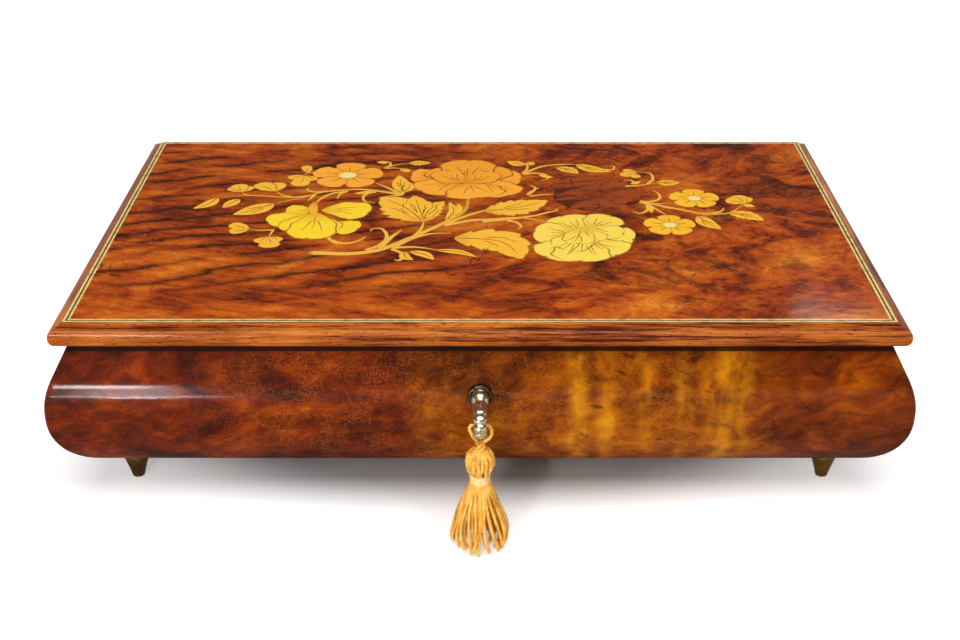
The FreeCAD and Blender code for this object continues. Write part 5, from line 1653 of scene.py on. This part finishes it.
@dataclass
class Lock:
    """Keyhole ring, and the key with a fluted bulb and a lobed bow.

    Profiles are radius and distance in millimetres, the ring's inwards from the case's face and the key's
    outwards. torus is the ring that the bow is shaped from: its radius, and that of its round.
    """

    ring: tuple[Place, ...] = (
        (3.05, -1.0), (3.25, -1.15), (3.6, -1.2), (4.0, -1.1), (4.28, -0.8), (4.4, -0.35), (4.4, 0.4),
        (3.8, 0.4),
        (3.8, 5.0), (3.05, 5.0), (3.05, -0.4),
    )
    stem: tuple[Place, ...] = (
        (0, -18.0), (1.1, -18.0), (1.1, -16.7), (1.6, -16.7), (1.6, -5.0), (2.4, -5.0), (2.45, -4.8),
        (2.45, 0.2),
        (2.75, 0.45), (2.9, 0.8), (2.75, 1.15), (2.55, 1.35), (2.75, 1.55), (3.0, 1.75), (3.1, 2.1),
        (3.0, 2.4),
        (2.95, 2.6), (3.12, 2.9), (3.14, 3.6), (3.05, 4.3), (2.75, 4.8), (2.3, 5.15), (1.95, 5.45),
        (1.9, 5.75),
        (2.2, 5.95), (2.3, 6.2), (2.15, 6.45), (1.95, 6.6), (2.1, 6.9), (2.4, 7.5), (2.62, 8.4), (2.65, 9.3),
        (2.5, 10.2), (2.2, 11.0), (1.85, 11.6), (1.75, 11.9), (2.05, 12.1), (2.1, 12.4), (1.8, 12.7),
        (1.75, 13.4),
        (0, 13.4),
    )
    bulb_from: float = 6.75
    bulb_length: float = 4.95
    flutes: int = 9
    flute_depth: float = 0.2
    bow_out: float = 19.0
    bow_half: Place = (6.2, 5.5)
    bow_hole: float = 2.9
    bow_thickness: float = 4.8
    lobes: int = 8
    torus: Place = (4.4, 1.4)
    bit_low: Point = (-0.7, -74.2, KEY_HEIGHT - 3.0)
    bit_high: Point = (0.7, -72.6, KEY_HEIGHT)
    bit_ease: float = 0.15

    def build(self) -> None:
        """Turn and shape each piece."""
        ring = turned(self.ring, (0, KEY_FACE, KEY_HEIGHT), (0, 1, 0), 56, "keyhole_ring_turned")
        finished(ring, DARK_BRONZE, "case", ["keyhole_ring"])
        stem = turned(self.stem, (0, KEY_FACE, KEY_HEIGHT), (0, -1, 0), 54, "key_stem")
        self.flute(stem)
        bit = block(self.bit_low, self.bit_high)
        modified(bit, "BEVEL", width=self.bit_ease * MM, segments=2)
        key = joined([stem, self.bow(), bit], "key_turned")
        finished(settled(key, 40), NICKEL, "key", ["key"])

    def flute(self, stem: bpy.types.Object) -> None:
        """File flutes round the stem's bulb.

        Args:
            stem: The turned stem.
        """
        for vertex in stem.data.vertices:
            share = (KEY_FACE - vertex.co.y / MM - self.bulb_from) / self.bulb_length
            if not 0 < share < 1:
                continue
            x, z = vertex.co.x / MM, vertex.co.z / MM - KEY_HEIGHT
            depth = math.sin(math.pi * share) * self.flute_depth
            left = 1 - depth * (0.5 - 0.5 * math.cos(self.flutes * math.atan2(z, x))) ** 2
            vertex.co.x, vertex.co.z = x * left * MM, (KEY_HEIGHT + z * left) * MM

    def bow(self) -> bpy.types.Object:
        """Shape a ring into the bow's oval with a beaded rim.

        Returns:
            The bow.
        """
        centre = Vector((0, KEY_FACE - self.bow_out, KEY_HEIGHT))
        middle_radius, round_radius = self.torus
        bpy.ops.object.select_all(action="DESELECT")
        bpy.ops.mesh.primitive_torus_add(
            major_segments=112, minor_segments=22, major_radius=middle_radius * MM,
            minor_radius=round_radius * MM,
            rotation=(0, math.radians(90), 0),
        )
        made = placed(bpy.context.object)
        for vertex in made.data.vertices:
            place = vertex.co / MM
            turn = math.atan2(place.z, place.y)
            radial = math.hypot(place.y, place.z) - middle_radius
            lobe = abs(math.cos(self.lobes * turn / 2))
            oval = 1 / math.hypot(math.cos(turn) / self.bow_half[0], math.sin(turn) / self.bow_half[1])
            outer = oval * (0.88 + 0.12 * lobe ** 0.6)
            middle, half = (outer + self.bow_hole) / 2, (outer - self.bow_hole) / 2
            thick = self.bow_thickness / 2 * (0.76 + 0.24 * lobe)
            reach = middle + half * radial / round_radius
            vertex.co = centre * MM + Vector(
                (thick * place.x / round_radius, reach * math.cos(turn), reach * math.sin(turn))
            ) * MM
        return made


# Tassel

def plied(
    paths: Sequence[Sequence[Vector]], radius: float, pitch: float, name: str, plies: int = 2, sides: int = 3
) -> bpy.types.Object:
    """Twist yarns along paths into cord.

    Args:
        paths: Middle lines in millimetres.
        radius: Radius of the whole cord.
        pitch: Length of one turn of the twist.
        name: The piece's name.
        plies: Yarns in the cord.
        sides: How fine the yarns' round is.

    Returns:
        One mesh that holds every yarn.
    """
    curve = bpy.data.curves.new(name, "CURVE")
    curve.dimensions = "3D"
    curve.bevel_depth = radius * 0.56 * MM
    curve.bevel_resolution = sides
    curve.use_fill_caps = True
    for path in paths:
        travel = 0.0
        frames = []
        for index, point in enumerate(path):
            ahead = (path[min(index + 1, len(path) - 1)] - path[max(index - 1, 0)]).normalized()
            side = ahead.orthogonal() if not frames else frames[-1][2] - ahead * frames[-1][2].dot(ahead)
            side.normalize()
            travel += (point - path[index - 1]).length if index else 0.0
            frames.append((point, ahead, side, travel))
        for ply in range(plies):
            spline = curve.splines.new("POLY")
            spline.points.add(len(frames) - 1)
            for (point, ahead, side, travelled), knot in zip(frames, spline.points):
                turn = 2 * math.pi * (travelled / pitch + ply / plies)
                around = side * math.cos(turn) + ahead.cross(side) * math.sin(turn)
                place = (point + around * (radius * 0.47)) * MM
                knot.co = (*place, 1.0)
    made = bpy.data.objects.new(name, curve)
    bpy.context.collection.objects.link(made)
    alone(made)
    bpy.ops.object.convert(target="MESH")
    return settled(named(bpy.context.object, name), 60)


def spline_points(points: Sequence[Point], name: str) -> list[Vector]:
    """Smooth NURBS line whose control points are a route.

    Args:
        points: The route in millimetres.
        name: Name of the curve while it is made.

    Returns:
        Points along the line.
    """
    curve = bpy.data.curves.new(name, "CURVE")
    curve.dimensions = "3D"
    curve.resolution_u = 10
    spline = curve.splines.new("NURBS")
    spline.points.add(len(points) - 1)
    for knot, place in zip(spline.points, points):
        knot.co = (*(Vector(place) * MM), 1.0)
    spline.order_u = 3
    spline.use_endpoint_u = True
    holder = bpy.data.objects.new(name, curve)
    mesh = bpy.data.meshes.new_from_object(holder)
    line = [vertex.co / MM for vertex in mesh.vertices]
    bpy.data.objects.remove(holder)
    bpy.data.meshes.remove(mesh)
    return line


@dataclass(frozen=True)
class Tier:
    """Ring of hanging strands.

    share is the part of the profile's distance at which they hang. sway is how far they stray sideways and
    cut how much shorter the shortest may be, in millimetres. offset is where they start round the axis, in
    strands.
    """

    strands: int
    share: float
    sway: float
    cut: float = 0.0
    offset: float = 0.0


@dataclass
class Tassel:
    """Cord loop through the key's bow, with a knot, a bound head and a skirt of plied strands.

    A cord is its radius and the length of one turn of its twist, in millimetres. The profiles of the skirt
    and of the head's ball are height and distance from the axis, from top to bottom.
    """

    cord: Place = (0.62, 2.3)
    skirt_cord: Place = (0.68, 2.3)
    head_cord: Place = (0.72, 2.6)
    wrap_cord: Place = (0.44, 1.5)
    loop_route: tuple[Point, ...] = (
        (-0.5, 0.0, -3.0), (-2.1, 0.1, -1.6), (-3.1, 0.2, 0.6), (-3.8, 0.3, 2.6), (-2.8, 0.3, 4.0),
        (0.0, 0.3, 3.2),
        (2.7, 0.2, 3.9), (4.1, 0.1, 2.0), (3.9, 0.0, -0.6), (2.2, 0.0, -2.2), (0.5, 0.0, -3.0),
    )
    knot_steps: int = 120
    knot_swing: float = 0.42
    knot_rise: float = 0.95
    head_tier: Tier = Tier(18, 1.0, 0.5)
    core_radius: float = 4.35
    core_height: float = 32.4
    wrap_turns: int = 6
    wrap_steps: int = 180
    wrap_radius: float = 3.35
    wrap_top: float = 27.8
    wrap_drop: float = 3.2
    tiers: tuple[Tier, ...] = (
        Tier(30, 1.0, 1.8, 1.3), Tier(23, 0.8, 1.4, 1.2, 0.5), Tier(14, 0.5, 0.8, 1.2, 0.25),
    )
    skirt: tuple[Place, ...] = (
        (25.0, 2.7), (22.8, 3.5), (20.4, 4.5), (16.6, 6.0), (12.3, 7.5), (7.7, 8.9), (4.0, 9.5), (0.8, 9.4),
    )
    ball: tuple[Place, ...] = (
        (37.2, 0.7), (36.9, 1.9), (36.2, 3.1), (34.9, 4.1), (33.2, 4.65), (31.4, 4.5), (29.9, 3.8),
        (28.8, 3.1),
        (27.6, 2.6),
    )

    def centred(self, x: float, y: float, z: float) -> Vector:
        """Place beside the tassel's axis."""
        return Vector((x, TASSEL_Y + y, z))

    def hanging(self, profile: Sequence[Place], tier: Tier, index: int) -> list[Vector]:
        """Line of one strand.

        Args:
            profile: Height and distance from the axis, from top to bottom.
            tier: The ring that it hangs in.
            index: Its place in the ring.

        Returns:
            Its points, from top to bottom.
        """
        turn = 2 * math.pi * (index + tier.offset) / tier.strands
        cut = tier.cut * (0.5 + 0.5 * math.sin(index * 2.399 + tier.offset * 9))
        line = smooth_path([(radius * tier.share, height) for height, radius in profile], 40)
        points = []
        for step, (radius, height) in enumerate(line):
            fall = step / (len(line) - 1)
            stray = tier.sway * fall * math.sin(turn * 5.3 + 5.0 * fall)
            angle = turn + stray / max(radius, 2.0)
            wave = (0.3 * math.sin(turn * 3.1 + 11 * fall) + 0.5 * math.sin(turn * 11.3)) * fall
            out = radius + wave
            height = height + cut * fall ** 3
            spread = 1.0 + 0.2 * fall ** 2 * max(0.0, -math.sin(angle))
            points.append(self.centred(out * math.cos(angle), spread * out * math.sin(angle), height))
        return points

    def ring_of(self, profile: Sequence[Place], tier: Tier) -> list[list[Vector]]:
        """Strands all round, unevenly cut, as the tier says."""
        return [self.hanging(profile, tier, index) for index in range(tier.strands)]

    def knot(self) -> list[Vector]:
        """Line of the knot: a cord that winds twice round the axis and crosses itself three times.

        Returns:
            Points along it.
        """
        line = []
        for step in range(self.knot_steps + 1):
            turn = 2 * math.pi * step / self.knot_steps
            around = 1.0 + self.knot_swing * math.cos(3 * turn)
            line.append(self.centred(
                around * math.cos(2 * turn), around * math.sin(2 * turn),
                KNOT_HEIGHT + self.knot_rise * math.sin(3 * turn),
            ))
        return line

    def wrap(self) -> list[Vector]:
        """Line of the binding's turns, from the top down.

        Returns:
            Points along it.
        """
        line = []
        for step in range(self.wrap_steps + 1):
            share = step / self.wrap_steps
            turn = 2 * math.pi * self.wrap_turns * share
            x, y = self.wrap_radius * math.cos(turn), self.wrap_radius * math.sin(turn)
            line.append(self.centred(x, y, self.wrap_top - self.wrap_drop * share))
        return line

    def build(self) -> None:
        """Twist the loop, tie the knot, bind the head and hang the skirt."""
        bar = Vector((0, TASSEL_Y, BAR_HEIGHT))
        route = spline_points([tuple(bar + Vector(place)) for place in self.loop_route], "tassel_loop_route")
        loop = plied([route], *self.cord, "tassel_loop_cord", sides=4)
        finished(loop, CORD, "tassel_loop", ["tassel_loop"])
        knot = plied([self.knot()], *self.cord, "tassel_knot_tied", sides=4)
        finished(knot, CORD, "tassel_loop", ["tassel_knot"])

        head = plied(self.ring_of(self.ball, self.head_tier), *self.head_cord, "head_strands")
        bpy.ops.mesh.primitive_uv_sphere_add(
            segments=32, ring_count=20, radius=self.core_radius * MM,
            location=self.centred(0, 0, self.core_height) * MM,
        )
        head = joined([head, bpy.context.object], "tassel_head_bound")
        finished(settled(head, 60), CORD, "tassel", ["tassel_head"])
        wrap = plied([self.wrap()], *self.wrap_cord, "tassel_wrap_wound")
        finished(wrap, BINDING, "tassel", ["tassel_wrap"])

        strands = [line for tier in self.tiers for line in self.ring_of(self.skirt, tier)]
        skirt = plied(strands, *self.skirt_cord, "tassel_skirt_strands", sides=2)
        finished(skirt, CORD, "tassel", ["tassel_skirt"])


# Hinges, lining, lock plates and movement

def softened(name: str, finish: Finish, width: float, angle: float = 38.0) -> bpy.types.Object:
    """Copy a CAD node as a new piece whose edges are eased, and let the copy stand for it.

    Args:
        name: The CAD node.
        finish: Its finish.
        width: Width of the eased edge in millimetres.
        angle: Edges sharper than this many degrees are eased.

    Returns:
        The new piece.
    """
    record = frame["record"]
    body = next(body for body, nodes in record["behaviour"]["bodies"].items() if name in nodes)
    made = bpy.data.objects.new(name + "_eased", frame["nodes"][name].data.copy())
    bpy.context.collection.objects.link(made)
    with editing(made):
        bpy.ops.mesh.remove_doubles(threshold=MERGE_CAD * MM)
        bpy.ops.mesh.dissolve_limited(angle_limit=math.radians(FLAT))
    modified(
        made, "BEVEL", width=width * MM, segments=2, limit_method="ANGLE", angle_limit=math.radians(angle)
    )
    made.data.polygons.foreach_set("material_index", [0] * len(made.data.polygons))
    return finished(settled(named(made, name + "_eased"), angle), finish, body, [name])


@dataclass
class Lining:
    """Crimson velvet: linings on card, covered dividers, and the padded ring rolls."""

    linings: tuple[tuple[str, float], ...] = (
        ("floor_lining", 0.35), ("wall_lining", 0.35), ("lid_lining", 0.4), ("long_divider", 0.8),
        ("cross_divider", 0.8),
    )
    rolls: int = 6
    first_roll: float = -59.384
    roll_pitch: float = 17.4
    roll_low: Point = (-133.0, -8.2, 15.0)
    roll_high: Point = (-68.5, 8.2, 35.0)
    squareness: float = 2.6
    crease_depth: float = 0.012
    stuffing: float = 0.9

    def roll(self, middle: float) -> bpy.types.Object:
        """Stuff one roll: full in the middle, drawn in at its sewn ends, and flat where it is glued down.

        Args:
            middle: Where its middle lies from front to back, in millimetres.

        Returns:
            The roll.
        """
        bpy.ops.object.select_all(action="DESELECT")
        bpy.ops.mesh.primitive_uv_sphere_add(
            segments=40, ring_count=28, radius=1, rotation=(0, math.radians(90), 0)
        )
        made = placed(bpy.context.object)
        low, high = Vector(self.roll_low), Vector(self.roll_high)
        centre, half = (low + high) / 2, (high - low) / 2
        for vertex in made.data.vertices:
            x, y, z = vertex.co
            around = math.hypot(y, z) or 1.0
            end = math.copysign(min(1.0, abs(math.asin(max(-1.0, min(1.0, x))) / (math.pi / 2)) ** 0.8), x)
            full = (1 - abs(end) ** 5) ** 0.28
            sides = abs(y / around) ** self.squareness + abs(z / around) ** self.squareness
            square = max(sides, 0.01) ** (-1 / self.squareness)
            crease = self.crease_depth * math.sin(9 * end + 3 * math.atan2(z, y) + middle)
            across = (square * full + crease) * y / around
            up = (square * full + crease) * z / around
            vertex.co = Vector((
                centre.x + half.x * end, middle + half.y * across, max(low.z, centre.z + half.z * up)
            )) * MM
        return made

    def build(self) -> None:
        """Cover the linings and set the rolls side by side."""
        for name, ease in self.linings:
            softened(name, LINING, ease)
        rolls = [self.roll(self.first_roll + self.roll_pitch * index) for index in range(self.rolls)]
        pads = finished(
            settled(joined(rolls, "ring_rolls_stuffed"), 70), LINING, "case", ["ring_rolls"]
        )


@dataclass
class Fittings:
    """Metal and wooden fittings that keep the CAD's shape, with eased edges where they are seen."""

    eased: tuple[tuple[str, Finish, float], ...] = (
        ("hinge_leaves_case", HINGE_BRASS, 0.12), ("hinge_leaves_lid", HINGE_BRASS, 0.12),
        ("lock_case", HINGE_BRASS, 0.15), ("strike_plate", HINGE_BRASS, 0.12),
        ("lock_bolt", HINGE_BRASS, 0.1),
        ("bedplate", GOLD_PLATE, 0.25), ("comb", STEEL, 0.06), ("cylinder_brackets", GOLD_PLATE, 0.2),
        ("governor_bracket", GOLD_PLATE, 0.15), ("cover_blocks", BARE_WOOD, 0.3),
        ("movement_cover", CLEAR_SHEET, 0.15),
        ("winding_key", HINGE_BRASS, 0.25), ("stop_rod", STEEL, 0.08),
    )
    dressed: tuple[tuple[Finish, tuple[str, ...]], ...] = (
        (
            HINGE_BRASS,
            ("hinge_pins", "hinge_screws_case", "hinge_screws_lid", "lock_screws", "strike_screws")
        ),
        (STEEL, ("movement_screws", "comb_screws", "cylinder_arbor", "cylinder_pins", "worm_shaft",
                 "winding_arbor", "mainspring")),
        (WHEEL_BRASS, ("cylinder", "cylinder_wheel", "second_wheel", "fan", "barrel_cap", "spring_barrel")),
    )

    def build(self) -> None:
        """Ease and dress every fitting."""
        for name, finish, width in self.eased:
            softened(name, finish, width)
        for finish, names in self.dressed:
            finish.dress_nodes(*names)
            log.info("%s dresses %s", finish.name, ", ".join(names))


def main() -> None:
    """Build the studio and every sub-assembly in order."""
    logging.basicConfig(level=logging.INFO, format="%(name)s: %(message)s")
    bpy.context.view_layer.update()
    for part in (Studio(), Case(), Lid(), Marquetry(), Lock(), Tassel(), Lining(), Fittings()):
        part.build()


if __name__ == "__main__":
    main()
